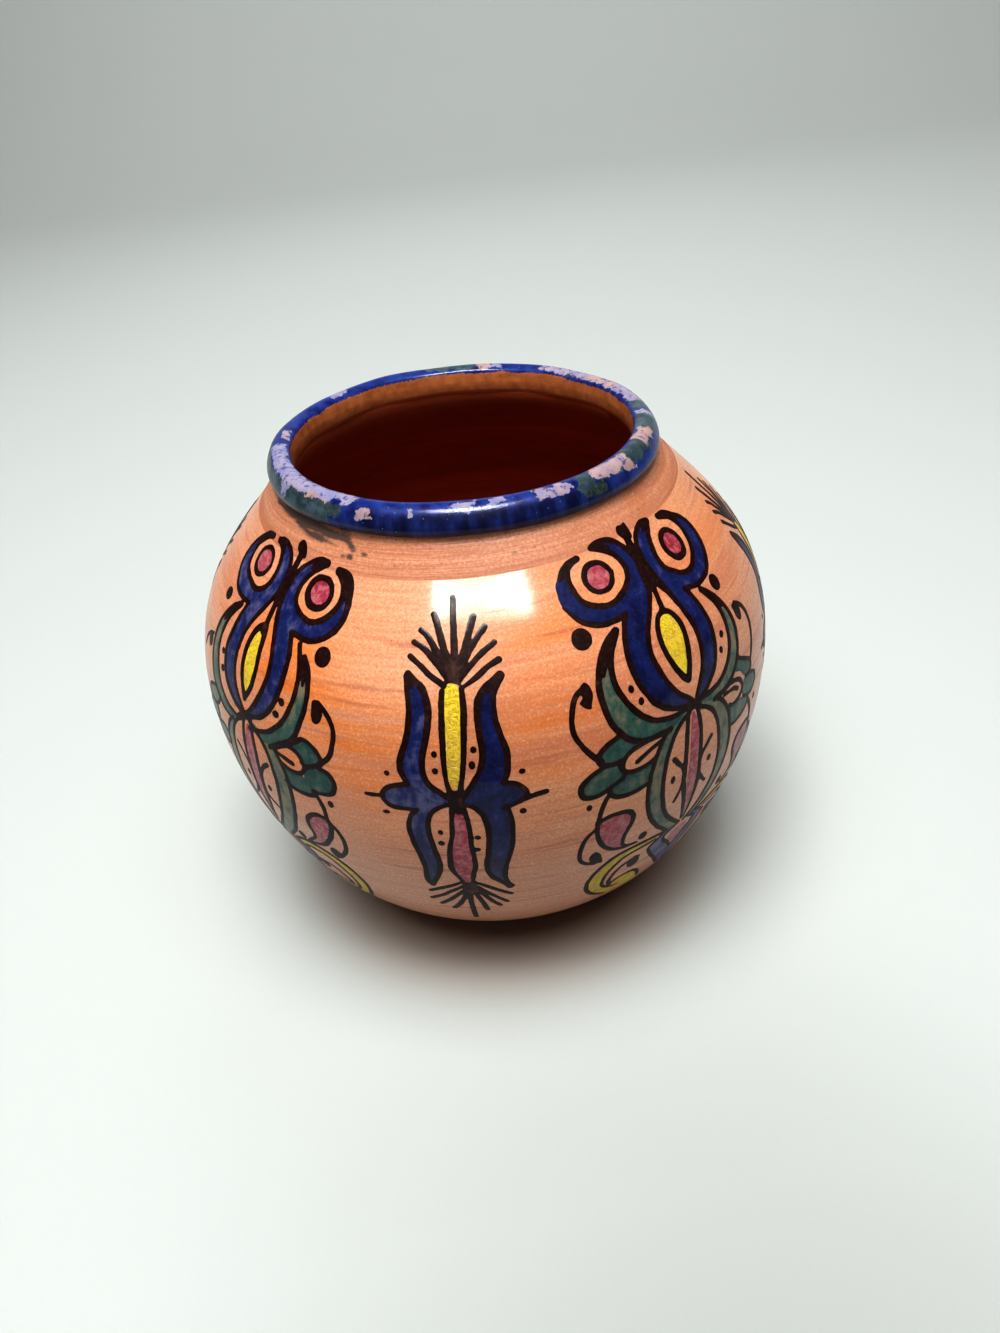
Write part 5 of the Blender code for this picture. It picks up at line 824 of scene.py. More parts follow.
# ------------------------------------------------------------------ materials
class Look:
    """A material being wired. Each helper adds one node and gives back its output."""

    def __init__(self, name):
        self.material = bpy.data.materials.new(name)
        self.material.use_nodes = True
        self.tree = self.material.node_tree
        self.shader = self.tree.nodes["Principled BSDF"]
        self.place = self.tree.nodes.new("ShaderNodeTexCoord").outputs["Object"]

    def give(self, socket, value):
        if isinstance(value, bpy.types.NodeSocket):
            self.tree.links.new(value, socket)
        elif isinstance(value, (tuple, list)) and len(value) == 3 and socket.type == "RGBA":
            socket.default_value = (*value, 1.0)
        else:
            socket.default_value = value

    def scaled(self, x, y, z, turn=0.0, shift=(0, 0, 0)):
        node = self.tree.nodes.new("ShaderNodeMapping")
        self.tree.links.new(self.place, node.inputs["Vector"])
        node.inputs["Scale"].default_value = (x, y, z)
        node.inputs["Rotation"].default_value = (0, 0, turn)
        node.inputs["Location"].default_value = shift
        return node.outputs["Vector"]

    def noise(self, vector, scale=1.0, detail=2.0, roughness=0.5, distort=0.0):
        node = self.tree.nodes.new("ShaderNodeTexNoise")
        self.tree.links.new(vector, node.inputs["Vector"])
        node.inputs["Scale"].default_value = scale
        node.inputs["Detail"].default_value = detail
        node.inputs["Roughness"].default_value = roughness
        node.inputs["Distortion"].default_value = distort
        return node.outputs["Fac"]

    def cells(self, vector, scale, feature="F1", random=1.0):
        node = self.tree.nodes.new("ShaderNodeTexVoronoi")
        node.feature = feature
        self.tree.links.new(vector, node.inputs["Vector"])
        node.inputs["Scale"].default_value = scale
        node.inputs["Randomness"].default_value = random
        return node.outputs["Distance"]

    def calc(self, operation, a, b=0.0, c=0.0, clamp=False):
        node = self.tree.nodes.new("ShaderNodeMath")
        node.operation = operation
        node.use_clamp = clamp
        for socket, value in zip(node.inputs, (a, b, c)):
            self.give(socket, value)
        return node.outputs["Value"]

    def span(self, value, a0, a1, b0=0.0, b1=1.0, soft=False):
        node = self.tree.nodes.new("ShaderNodeMapRange")
        node.interpolation_type = "SMOOTHSTEP" if soft else "LINEAR"
        self.give(node.inputs["Value"], value)
        for key, number in zip(("From Min", "From Max", "To Min", "To Max"), (a0, a1, b0, b1)):
            node.inputs[key].default_value = number
        return node.outputs["Result"]

    def mix(self, share, a, b, blend="MIX"):
        node = self.tree.nodes.new("ShaderNodeMix")
        node.data_type = "RGBA"
        node.blend_type = blend
        self.give(node.inputs[0], share)
        self.give(node.inputs[6], a)
        self.give(node.inputs[7], b)
        return node.outputs[2]

    def field(self, name):
        node = self.tree.nodes.new("ShaderNodeAttribute")
        node.attribute_name = name
        return node.outputs["Fac"]

    def height(self):
        node = self.tree.nodes.new("ShaderNodeSeparateXYZ")
        self.tree.links.new(self.place, node.inputs[0])
        return node.outputs["Z"]

    def near(self, point, inner, outer):
        """1 within inner metres of a point, falling softly to 0 at outer."""
        node = self.tree.nodes.new("ShaderNodeVectorMath")
        node.operation = "DISTANCE"
        self.tree.links.new(self.place, node.inputs[0])
        node.inputs[1].default_value = point
        return self.span(node.outputs["Value"], inner, outer, 1.0, 0.0, soft=True)

    def bump(self, height, distance, strength=1.0, normal=None):
        node = self.tree.nodes.new("ShaderNodeBump")
        self.give(node.inputs["Height"], height)
        node.inputs["Distance"].default_value = distance
        node.inputs["Strength"].default_value = strength
        if normal is not None:
            self.tree.links.new(normal, node.inputs["Normal"])
        return node.outputs["Normal"]

    def finish(self, colour, roughness, normal=None, coat=0.0, coat_roughness=0.1, level=0.3, varnish=None):
        s = self.shader
        self.give(s.inputs["Base Color"], colour)
        self.give(s.inputs["Roughness"], roughness)
        s.inputs["Specular IOR Level"].default_value = level
        s.inputs["Coat Weight"].default_value = coat
        s.inputs["Coat Roughness"].default_value = coat_roughness
        if normal is not None:
            self.tree.links.new(normal, s.inputs["Normal"])
        if varnish is not None:
            self.tree.links.new(varnish, s.inputs["Coat Normal"])
        return self.material


def srgb(r, g, b):
    """A colour picked in 0-255 display values, as linear light."""
    out = []
    for value in (r, g, b):
        c = value / 255.0
        out.append(c / 12.92 if c <= 0.04045 else ((c + 0.055) / 1.055) ** 2.4)
    return tuple(out)


def seen(r, g, b, light=1.5):
    """The pigment that shows as this 0-255 display colour on the pot's lit side."""
    return tuple(c / light for c in srgb(*(255 * (v / 255) ** VIEW_GAMMA for v in (r, g, b))))


VIEW_GAMMA = 0.86  # the picture's tone curve, set with the camera
UP = 2.2  # how much more light the rim's top takes than a mid grey card


def globe_material():
    """Terracotta under a hand-brushed orange wash and a thin clear varnish, with painted sheen on the upper shoulder,
    painted shade and floor reflection low on the belly, and painted shade in part of the orange left of the front.
    """
    m = Look("washed_terracotta")
    broad = m.noise(m.scaled(15, 15, 30), 1.0, 3.0, 0.55)
    band = m.noise(m.scaled(5, 5, 84, turn=1.1), 1.0, 3.0, 0.55)
    streak = m.noise(m.scaled(20, 20, 300, turn=0.4), 1.0, 4.0, 0.62, 0.15)
    hair = m.noise(m.scaled(62, 62, 1500, turn=0.7), 1.0, 3.0, 0.6)
    grain = m.noise(m.scaled(1, 1, 1), 1900.0, 3.0, 0.6)
    load = m.calc("MULTIPLY_ADD", band, 0.56, m.calc("MULTIPLY_ADD", streak, 0.36, m.calc("MULTIPLY", hair, 0.08)))
    colour = m.mix(m.span(load, 0.40, 0.49), seen(*WASH["pale"]), seen(*WASH["mid"]))
    colour = m.mix(m.span(load, 0.48, 0.57, 0.0, 0.9), colour, seen(*WASH["orange"]))
    colour = m.mix(m.span(streak, 0.34, 0.44, 0.70, 0.0), colour, seen(*WASH["dusky"]))
    colour = m.mix(m.span(band, 0.34, 0.44, 0.62, 0.0), colour, seen(*WASH["dusky"]))
    # a fuller load of orange wash left of the front, laid on in separate brush strokes; partly painted shade, standing
    # in for the darker, more saturated look where less light falls there and less of the pale floor is reflected
    full = m.calc(
        "MAXIMUM",
        m.near(tuple(on_globe(math.radians(-36), 22.0)), 0.010, 0.032),
        m.near(tuple(on_globe(math.radians(-22), 15.0)), 0.006, 0.024),
    )
    full = m.calc("MAXIMUM", full, m.calc("MULTIPLY", m.near(tuple(on_globe(math.radians(12), 16.0)), 0.006, 0.020), 0.5))
    full = m.calc("MULTIPLY", full, m.span(m.calc("ADD", streak, m.calc("MULTIPLY", band, 0.6)), 0.60, 0.84))
    colour = m.mix(full, colour, seen(*WASH["full"]))
    colour = m.mix(m.span(broad, 0.44, 0.70, 0.0, 0.45), colour, seen(*WASH["pink"]))
    # painted sheen: the shoulder left of the front is mixed paler and creamier, standing in for the glossy sheen beside
    # the window's highlight
    painted_sheen_patch = m.near(tuple(on_globe(math.radians(-18), 33.0)), 0.008, 0.026)
    colour = m.mix(m.calc("MULTIPLY", painted_sheen_patch, 0.55), colour, seen(248, 190, 152))
    # painted shade and painted reflection: from just above the widest ring downwards the colour is mixed towards a
    # darker, milkier pink, standing in for less light and the pale floor's reflection
    low = m.span(m.height(), BELLY_Z - 0.022, BELLY_Z + 0.012, 0.55, 0.0, soft=True)
    colour = m.mix(low, colour, seen(*WASH["low"]))
    # painted sheen: a band over the upper shoulder is mixed paler, standing in for the broad glossy sheen there
    shoulder = m.span(m.height(), BELLY_Z + 0.0345, BELLY_Z + 0.0430, 0.0, 0.6, soft=True)
    colour = m.mix(shoulder, colour, seen(*WASH["shoulder"]))
    colour = m.mix(m.span(hair, 0.32, 0.54, 0.34, 0.0), colour, seen(*WASH["hair"]))
    colour = m.mix(m.span(hair, 0.56, 0.68, 0.0, 0.22), colour, seen(250, 186, 146))
    # scattered pale flecks and tiny dark grit
    line = m.noise(m.scaled(34, 34, 620, turn=1.9, shift=(0.3, 1.1, 0.7)), 1.0, 2.0, 0.5, 0.3)
    colour = m.mix(m.span(line, 0.28, 0.38, 0.55, 0.0), colour, seen(170, 82, 52))
    dust = m.cells(m.scaled(1, 1, 1), 330.0)
    colour = m.mix(m.span(dust, 0.060, 0.085, 0.45, 0.0), colour, seen(250, 214, 186))
    grit = m.cells(m.scaled(1, 1, 1, shift=(3.1, 0.4, 1.7)), 210.0)
    colour = m.mix(m.span(grit, 0.026, 0.045, 0.6, 0.0), colour, seen(96, 54, 38))
    colour = m.mix(m.span(grain, 0.36, 0.56, 0.42, 0.0), colour, seen(196, 104, 64))
    colour = m.mix(m.span(grain, 0.56, 0.68, 0.0, 0.32), colour, seen(252, 200, 160))
    relief = m.bump(m.calc("ADD", streak, m.calc("MULTIPLY", hair, 0.5)), 0.00025, 0.6)
    relief = m.bump(grain, 0.00004, 0.6, relief)
    wave = m.noise(m.scaled(70, 70, 230, turn=0.5), 1.0, 2.0)
    skin_waves = m.calc("ADD", m.calc("MULTIPLY", wave, 2.0), m.calc("ADD", m.calc("MULTIPLY", hair, 0.12), m.calc("MULTIPLY", grain, 0.05)))
    varnish = m.bump(skin_waves, 0.00004, 0.5)
    dull = m.span(streak, 0.35, 0.65, 0.50, 0.40)
    return m.finish(colour, dull, relief, coat=0.62, coat_roughness=0.13, level=0.06, varnish=varnish)


def neck_material():
    """The brushed neck: the same clay and wash, without the varnish, smudged with old paint."""
    m = Look("brushed_neck_clay")
    streak = m.noise(m.scaled(16, 16, 560, turn=0.3), 1.0, 4.0, 0.65)
    hair = m.noise(m.scaled(60, 60, 2300, turn=0.9), 1.0, 3.0, 0.6)
    broad = m.noise(m.scaled(45, 45, 60), 1.0, 2.0)
    grain = m.noise(m.scaled(1, 1, 1), 1700.0, 3.0, 0.65)
    colour = m.mix(m.span(streak, 0.38, 0.60), seen(194, 116, 78), seen(226, 150, 110))
    colour = m.mix(m.span(hair, 0.36, 0.58, 0.55, 0.0), colour, seen(172, 96, 62))
    colour = m.mix(m.span(broad, 0.45, 0.75, 0.0, 0.4), colour, seen(226, 162, 130))
    colour = m.mix(m.span(grain, 0.36, 0.56, 0.55, 0.0), colour, seen(176, 96, 60))
    colour = m.mix(m.span(grain, 0.57, 0.70, 0.0, 0.35), colour, seen(250, 188, 142))
    # painted shade: the foot of the neck, just above the shoulder line, is mixed darker, standing in for the shadow
    # line where the neck turns in
    neck_foot_shade = m.span(m.calc("ADD", m.height(), m.calc("MULTIPLY", streak, 0.002)), BELLY_Z + 0.0462, BELLY_Z + 0.0486, 0.6, 0.0, soft=True)
    colour = m.mix(neck_foot_shade, colour, seen(184, 108, 74))
    chip = m.cells(m.scaled(1, 1, 1.6), 300.0)
    colour = m.mix(m.span(chip, 0.055, 0.09, 0.55, 0.0), colour, seen(126, 70, 48))
    smear = m.noise(m.scaled(170, 170, 900, turn=0.5), 1.0, 3.0, 0.6, 0.4)
    smudge = m.calc("ADD", m.field("smudge"), m.span(smear, 0.30, 0.70, -0.50, 0.50))
    smudge = m.calc("ADD", smudge, m.span(grain, 0.3, 0.7, -0.20, 0.20))
    colour = m.mix(m.span(smudge, -0.30, 0.30, 0.0, 0.92), colour, seen(60, 48, 44))
    relief = m.bump(m.calc("ADD", streak, m.calc("MULTIPLY", hair, 0.7)), 0.00025, 0.7)
    relief = m.bump(grain, 0.00008, 0.6, relief)
    return m.finish(colour, m.span(streak, 0.3, 0.7, 0.62, 0.50), relief, coat=0.03, coat_roughness=0.3, level=0.10)


def inside_material():
    """Bare clay inside: deep red-brown, with painted light making the last centimetre to the mouth warmer and lighter.
    """
    m = Look("inner_clay")
    # painted light: the band just inside the mouth is mixed lighter and warmer where light falls into the opening
    rise = m.span(m.height(), BELLY_Z + 0.045, BELLY_Z + 0.057, 0.0, 1.0, soft=True)
    streak = m.noise(m.scaled(7, 7, 210, turn=0.2), 1.0, 3.0, 0.55)
    blotch = m.noise(m.scaled(1, 1, 1), 60.0, 3.0, 0.55)
    grain = m.noise(m.scaled(1, 1, 1), 1300.0, 3.0, 0.6)
    depth = m.span(m.height(), BELLY_Z - 0.010, BELLY_Z + 0.036, 0.0, 1.0, soft=True)
    colour = m.mix(depth, srgb(204, 76, 16), srgb(150, 48, 12))
    colour = m.mix(rise, colour, srgb(176, 98, 52))
    sunk = m.span(m.height(), BELLY_Z - 0.030, BELLY_Z - 0.008, 1.0, 0.0, soft=True)
    colour = m.mix(sunk, colour, srgb(168, 92, 58))
    colour = m.mix(m.span(streak, 0.38, 0.66, 0.40, 0.0), colour, srgb(110, 34, 8))
    colour = m.mix(m.span(streak, 0.56, 0.72, 0.0, 0.35), colour, srgb(196, 92, 34))
    colour = m.mix(m.span(blotch, 0.45, 0.75, 0.0, 0.25), colour, srgb(176, 70, 22))
    colour = m.mix(m.span(grain, 0.3, 0.55, 0.20, 0.0), colour, srgb(100, 30, 8))
    hair = m.noise(m.scaled(14, 14, 1400), 1.0, 2.0)
    relief = m.bump(hair, 0.00012, 0.5)
    relief = m.bump(grain, 0.00006, 0.5, relief)
    return m.finish(colour, m.span(grain, 0.3, 0.7, 0.46, 0.58), relief, level=0.16)


def rim_material():
    """Glossy cobalt over the rolled rim, worn to lavender and bare pink, with darker daubs."""
    m = Look("worn_cobalt_rim")
    soft = m.noise(m.scaled(1, 1, 1), 420.0, 3.0, 0.6)
    fine = m.noise(m.scaled(1, 1, 1), 1500.0, 3.0, 0.65)
    brush = m.noise(m.scaled(330, 330, 60), 1.0, 3.0, 0.6)
    colour = m.mix(m.span(soft, 0.35, 0.65), seen(10, 16, 80, 1.7), seen(24, 44, 134, 1.7))
    colour = m.mix(m.span(brush, 0.42, 0.66, 0.0, 0.6), colour, seen(40, 66, 150, 1.7))
    # painted shade and painted reflection: the rim's outer face at the front is mixed to a darker navy, standing in for
    # less light on that upright face and the dark room mirrored in it
    front_face_shade = m.calc("MULTIPLY", m.near(tuple(on_globe(math.radians(4), 51.0)), 0.020, 0.040), m.field("side"))
    colour = m.mix(m.calc("MULTIPLY", front_face_shade, m.span(brush, 0.40, 0.62, 0.95, 0.45)), colour, seen(7, 9, 44, 1.9))
    jitter = m.calc(
        "ADD", m.span(fine, 0.25, 0.75, -0.34, 0.34), m.span(soft, 0.25, 0.75, -0.36, 0.36)
    )
    # dark slate and teal daubs
    daub = m.span(m.calc("ADD", m.field("daub"), jitter), -0.08, 0.10)
    slate = m.mix(m.span(soft, 0.35, 0.65), seen(40, 60, 72, UP), seen(84, 110, 122, UP))
    slate = m.mix(m.field("deep"), slate, m.mix(m.span(fine, 0.4, 0.6), seen(22, 34, 34, UP), seen(60, 72, 66, UP)))
    colour = m.mix(daub, colour, slate)
    # worn places: lavender where a thin blue stain stays, pink where the clay shows
    worn = m.span(m.calc("ADD", m.field("worn"), jitter), -0.05, 0.08)
    bare = m.mix(m.span(soft, 0.40, 0.60), seen(150, 150, 204, UP), seen(186, 174, 202, UP))
    rosy = m.mix(m.span(soft, 0.35, 0.65), seen(192, 152, 150, UP), seen(218, 178, 166, UP))
    bare = m.mix(m.span(m.calc("ADD", m.field("pink"), m.span(fine, 0.3, 0.7, -0.25, 0.25)), 0.3, 0.7), bare, rosy)
    blotted = m.span(m.noise(m.scaled(1, 1, 1), 760.0, 3.0, 0.6), 0.57, 0.62, 0.0, 0.85)
    bare = m.mix(blotted, bare, seen(62, 74, 142, UP))
    colour = m.mix(worn, colour, bare)
    nick = m.cells(m.scaled(1, 1, 1), 560.0)
    colour = m.mix(m.span(nick, 0.055, 0.09, 0.6, 0.0), colour, seen(150, 160, 190, UP))
    # the clay edge where the blue stops inside the mouth
    lip = m.calc("ADD", m.field("lip"), m.span(fine, 0.3, 0.7, -0.25, 0.25))
    brown = m.mix(m.span(soft, 0.35, 0.65), srgb(150, 84, 44), srgb(178, 106, 60))
    colour = m.mix(m.span(lip, -0.1, 0.1), colour, brown)
    relief = m.bump(m.calc("SUBTRACT", m.calc("MULTIPLY", soft, 0.4), worn), 0.00008, 0.8)
    relief = m.bump(fine, 0.00004, 0.5, relief)
    varnish = m.bump(m.calc("ADD", fine, m.calc("MULTIPLY", soft, 0.5)), 0.00006, 0.6)
    gloss = m.calc("ADD", m.span(fine, 0.3, 0.7, 0.30, 0.42), m.calc("MULTIPLY", worn, 0.22))
    return m.finish(colour, gloss, relief, coat=0.32, coat_roughness=0.09, level=0.10, varnish=varnish)


def plain_clay_material(name, light, dark):
    """Unwashed clay under the pot: matt, gritty, with turning lines."""
    m = Look(name)
    ring = m.noise(m.scaled(8, 8, 900), 1.0, 3.0, 0.6)
    grain = m.noise(m.scaled(1, 1, 1), 1100.0, 4.0, 0.65)
    blotch = m.noise(m.scaled(1, 1, 1), 70.0, 3.0)
    colour = m.mix(m.span(blotch, 0.35, 0.65), seen(*light), seen(*dark))
    colour = m.mix(m.span(ring, 0.4, 0.7, 0.0, 0.3), colour, seen(*light))
    colour = m.mix(m.span(grain, 0.30, 0.55, 0.4, 0.0), colour, seen(130, 70, 46))
    relief = m.bump(m.calc("ADD", ring, grain), 0.00025, 0.8)
    return m.finish(colour, m.span(grain, 0.3, 0.7, 0.72, 0.90), relief, level=0.3)


def paint_material(colour):
    """One colour of the ornament. Tone runs from a full brush (0) to thin watery paint (1)."""
    m = Look(f"paint_{colour}")
    tone, edge = m.field("tone"), m.field("edge")
    cloud = m.noise(m.scaled(1, 1, 1), 320.0, 3.0, 0.6)
    fine = m.noise(m.scaled(1, 1, 1), 1300.0, 3.0, 0.6)
    drag = m.noise(m.scaled(520, 520, 110), 1.0, 3.0, 0.6)
    full, mid, thin = (seen(*c) for c in PAINT[colour])
    swing = 0.30 if colour == "blue" else 0.42
    share = m.calc("ADD", tone, m.span(cloud, 0.25, 0.75, -swing, swing))
    share = m.calc("ADD", share, m.span(drag, 0.3, 0.7, -0.22, 0.22))
    if colour == "green":
        # a thin leaf keeps a dark wet edge and dries pale and mottled in the middle
        share = m.calc("ADD", share, m.span(edge, 0.25, 1.0, -0.30, 0.12))
    shade = m.mix(m.span(share, 0.0, 0.5), full, mid)
    shade = m.mix(m.span(share, 0.5, 1.0), shade, thin)
    varnish = m.bump(m.calc("ADD", fine, m.calc("MULTIPLY", cloud, 2.0)), 0.00002, 0.5)
    if colour == "dark":
        shade = m.mix(m.span(fine, 0.50, 0.80, 0.0, 0.35), shade, thin)
        relief = m.bump(fine, 0.00004, 0.5)
        return m.finish(shade, m.span(cloud, 0.3, 0.7, 0.44, 0.54), relief, coat=0.14, coat_roughness=0.10, level=0.04, varnish=varnish)
    # paint pools darker along its edge and skips in fine pale pinholes
    shade = m.mix(m.span(edge, 0.05, 0.45, 0.35, 0.0), shade, full)
    shade = m.mix(m.span(fine, 0.56, 0.80, 0.0, 0.22 if colour == "blue" else 0.40), shade, thin)
    if colour == "yellow":
        crease = m.noise(m.scaled(1, 1, 1), 700.0, 2.0, 0.55, distort=1.4)
        ridge = m.calc("ABSOLUTE", m.calc("SUBTRACT", crease, 0.5))
        shade = m.mix(m.span(ridge, 0.0, 0.05, 0.8, 0.0), shade, seen(190, 140, 14))
        relief = m.bump(m.span(ridge, 0.0, 0.10), 0.00014, 0.9)
        return m.finish(shade, 0.45, relief, coat=0.34, coat_roughness=0.09, level=0.08, varnish=relief)
    if colour == "magenta":
        crease = m.noise(m.scaled(1, 1, 1), 820.0, 2.0, 0.5, distort=0.9)
        shade = m.mix(m.span(crease, 0.52, 0.60, 0.0, 0.55), shade, seen(204, 116, 122))
        shade = m.mix(m.span(crease, 0.38, 0.46, 0.45, 0.0), shade, full)
        relief = m.bump(crease, 0.00012, 0.7)
        return m.finish(shade, 0.45, relief, coat=0.36, coat_roughness=0.09, level=0.08, varnish=relief)
    relief = m.bump(m.calc("ADD", fine, m.calc("MULTIPLY", drag, 0.6)), 0.00006, 0.6)
    return m.finish(shade, m.span(cloud, 0.3, 0.7, 0.40, 0.52), relief, coat=0.34, coat_roughness=0.07, level=0.04, varnish=varnish)


WASH = {
    "pale": (245, 172, 126),
    "mid": (236, 150, 98),
    "orange": (238, 134, 64),
    "dusky": (200, 102, 62),
    "full": (246, 122, 22),
    "pink": (232, 160, 130),
    # not a wash colour: the lower belly's painted shade and painted floor reflection
    "low": (216, 146, 118),
    # not a wash colour: the upper shoulder's painted sheen
    "shoulder": (236, 164, 120),
    "hair": (200, 108, 68),
}
PAINT = {
    "blue": ((8, 12, 50), (20, 29, 84), (92, 90, 128)),
    "green": ((12, 58, 55), (48, 80, 69), (126, 112, 86)),
    "yellow": ((255, 224, 30), (250, 206, 48), (206, 166, 74)),
    "magenta": ((136, 26, 44), (168, 56, 72), (176, 104, 104)),
    "dark": ((20, 4, 3), (30, 10, 8), (74, 46, 38)),
}

# ------------------------------------------------------------------ the clay sections
AROUND = 384


def section_grid(outline, cols, lumps=None):
    """Rows of a closed (radius, height) outline, swept round with the pot's unevenness."""
    az = round_pot(cols)[None, :]
    r = np.array([p[0] for p in outline])[:, None]
    z = np.array([p[1] for p in outline])[:, None]
    lat = np.degrees(np.arctan2(z - BELLY_Z, r))
    stray = uneven(az, lat)
    if lumps is not None:
        stray = stray + lumps(az, z)
    return turned_point(az, r + stray * np.cos(np.radians(lat)), z + stray * np.sin(np.radians(lat)))


def globe_rows(degrees, inward=0.0):
    reach = BELLY_R * eased(GLOBE, degrees) - inward
    level = np.radians(degrees)
    return list(zip(reach * np.cos(level), BELLY_Z + reach * np.sin(level)))


def throwing_rings(az, z):
    """The potter's finger rings inside, winding slowly up the wall."""
    turns = z / (3.7 * MM) + az / (2 * math.pi)
    deep = 0.55 + 0.45 * np.sin(z / (11 * MM) + 2.0 * np.sin(az + 0.8))
    smoothed = 1 - step(z, BELLY_Z + 0.026, BELLY_Z + 0.038)  # wiped smooth under the neck
    return smoothed * MM * (
        -0.17 * deep * np.sin(2 * math.pi * turns) + 0.12 * np.sin(2 * math.pi * z / (9.1 * MM) + az)
    )


def with_inner_lumps(outer_count):
    """Rings are pressed only into rows after the outer ones."""

    def lumps(az, z):
        press = np.ones_like(z)
        press[:outer_count] = 0.0
        return press * throwing_rings(az, z)

    return lumps


low_out = latitude_at(SLAB_TOP_Z)
low_in = latitude_at(SLAB_TOP_Z, WALL)
outer_rows = globe_rows(np.linspace(NECK_DEG, low_out, 112))
inner_rows = globe_rows(np.linspace(low_in, NECK_DEG, 96), WALL)
wall = lathe(
    "vase_wall",
    section_grid(outer_rows + inner_rows, AROUND, with_inner_lumps(len(outer_rows))),
)

# The neck starts a hair below the shoulder line and is let in by the varnish's thickness.
neck_deg = np.linspace(NECK_BEND_DEG, NECK_DEG - 0.25, 26)
sink = 0.045 * MM * (1 - step(neck_deg, NECK_DEG, NECK_DEG + 0.9))
neck_outer = [
    (r - s * 0.74, z - s * 0.67) for (r, z), s in zip(globe_rows(neck_deg), sink)
]
neck_inner = globe_rows(np.linspace(NECK_DEG - 0.25, NECK_BEND_DEG, 18), WALL)
neck_top = RIM_LOW + 0.0008
NECK_COLS = 720
neck_outline = (
    [(NECK_TOP_R, neck_top), (NECK_TOP_R + 0.0001, RIM_LOW - 0.0008)]
    + neck_outer
    + neck_inner
    + [(0.0389, RIM_LOW - 0.0006), (0.0393, neck_top)]
)
neck_grid = section_grid(neck_outline, NECK_COLS)


def patch_field(az, s, patches, seed):
    """Signed distance in mm to the nearest ragged patch, given as azimuth and arc-length spans."""
    field = np.full(np.broadcast(az, s).shape, -3.0)
    extra = np.zeros(field.shape)
    for number, (a0, a1, s0, s1, kind) in enumerate(patches):
        mid_a, mid_s = (a0 + a1) / 2, (s0 + s1) / 2
        x = ((az - mid_a + 180) % 360 - 180) * math.radians(1) * 43.0
        y = s - mid_s
        gx, gy = az * 0.75, s * np.ones_like(az)
        x = x + 0.95 * rough(gx / 2.6, gy / 2.6, seed + number) + 0.50 * rough(gx / 0.9, gy / 0.9, seed + 11)
        y = y + 0.55 * rough(gx / 2.1, gy / 2.1, seed + 23 + number) + 0.34 * rough(gx / 0.8, gy / 0.8, seed + 31)
        hx, hy = (a1 - a0) / 2 * math.radians(1) * 43.0, (s1 - s0) / 2
        corner = 0.45 * min(hx, hy)
        qx, qy = np.abs(x) - hx + corner, np.abs(y) - hy + corner
        d = corner + 0.22 - np.hypot(np.maximum(qx, 0), np.maximum(qy, 0)) - np.minimum(np.maximum(qx, qy), 0)
        wins = d > field
        field = np.where(wins, d, field)
        extra = np.where(wins, kind, extra)
    return field, extra


# Smears of old dark paint just under the rim, left of the front: (widths in mm, points).
SMEARS = [
    ((1.2, 2.0, 2.4, 2.0, 1.6, 1.2, 0.5), [(-70, 49.4), (-60, 49.2), (-53, 49.1), (-46, 49.1), (-40, 48.8), (-36, 48.6), (-33.6, 47.9), (-31.8, 46.9)]),
    ((0.8, 1.3, 1.5, 1.0, 0.4), [(-58.4, 48.9), (-52.7, 48.2), (-47.0, 47.6), (-41.6, 47.3), (-37.5, 47.0)]),
    ((0.5, 0.9, 0.8, 0.5), [(-45.2, 50.1), (-39.9, 50.0), (-35.9, 49.9), (-34.0, 49.9)]),
    ((0.6, 1.0, 0.6, 0.3), [(-38.4, 48.6), (-35.2, 48.3), (-34.0, 47.8), (-32.3, 46.6)]),
    ((1.1, 1.1), [(-33.2, 45.8), (-32.7, 45.7)]),
    ((0.5, 0.5), [(-35.3, 45.7), (-34.7, 45.7)]),
    ((0.45, 0.45), [(-29.2, 46.6), (-28.6, 46.6)]),
    ((0.4, 0.4), [(-27.6, 49.4), (-27.2, 49.4)]),
    ((0.35, 0.35), [(9.0, 46.0), (9.4, 46.0)]),
]
neck_az = np.degrees(round_pot(NECK_COLS))[None, :]
neck_az = (neck_az + 180) % 360 - 180
neck_r = np.array([p[0] for p in neck_outline])[:, None]
neck_z = np.array([p[1] for p in neck_outline])[:, None]
neck_lat = np.degrees(np.arctan2(neck_z - BELLY_Z, neck_r))
neck_u, neck_v = np.broadcast_arrays(np.radians(neck_az), np.arcsinh(np.tan(np.radians(neck_lat))))
smudge = np.full(neck_u.shape, -1.0)
for widths, points in SMEARS:
    d, along = to_segments(neck_u, neck_v, curve_through(chart(points), pieces=5))
    half = np.interp(along, np.linspace(0, 1, len(widths)), widths) / 2
    smudge = np.maximum(smudge, half - d * per_unit(neck_v))
smudge[2 + len(neck_outer) :] = -1.0
neck = lathe("vase_neck", neck_grid, {"smudge": np.maximum(smudge, -1.0)})

# The rim: a fine mesh, so that its worn patches have a ragged edge.
rim_line = curve_through([(r, z) for r, z in RIM_SECTION], pieces=10)
shown, shown_s = evenly(rim_line, 0.26)
hidden = np.array([(44.2, 52.25), (43.5, 52.1), (42.3, 52.2), (41.0, 52.2), (39.5, 51.8), (38.98, 51.5), (38.66, 52.4)])
rim_line = np.vstack([shown, hidden])
rim_s = np.concatenate([shown_s, [12.6, 13.2, -8, -8, -8, -3.2, -2.1]])
RIM_COLS = 960
rim_outline = [(r * MM, BELLY_Z + z * MM) for r, z in rim_line]


def rim_lumps(az, z):
    """The rolled coil is a little wavy."""
    return MM * (0.10 * np.sin(7 * az + 1.3) + 0.07 * np.sin(12 * az + 4.0 + z * 300)) * np.ones_like(z)


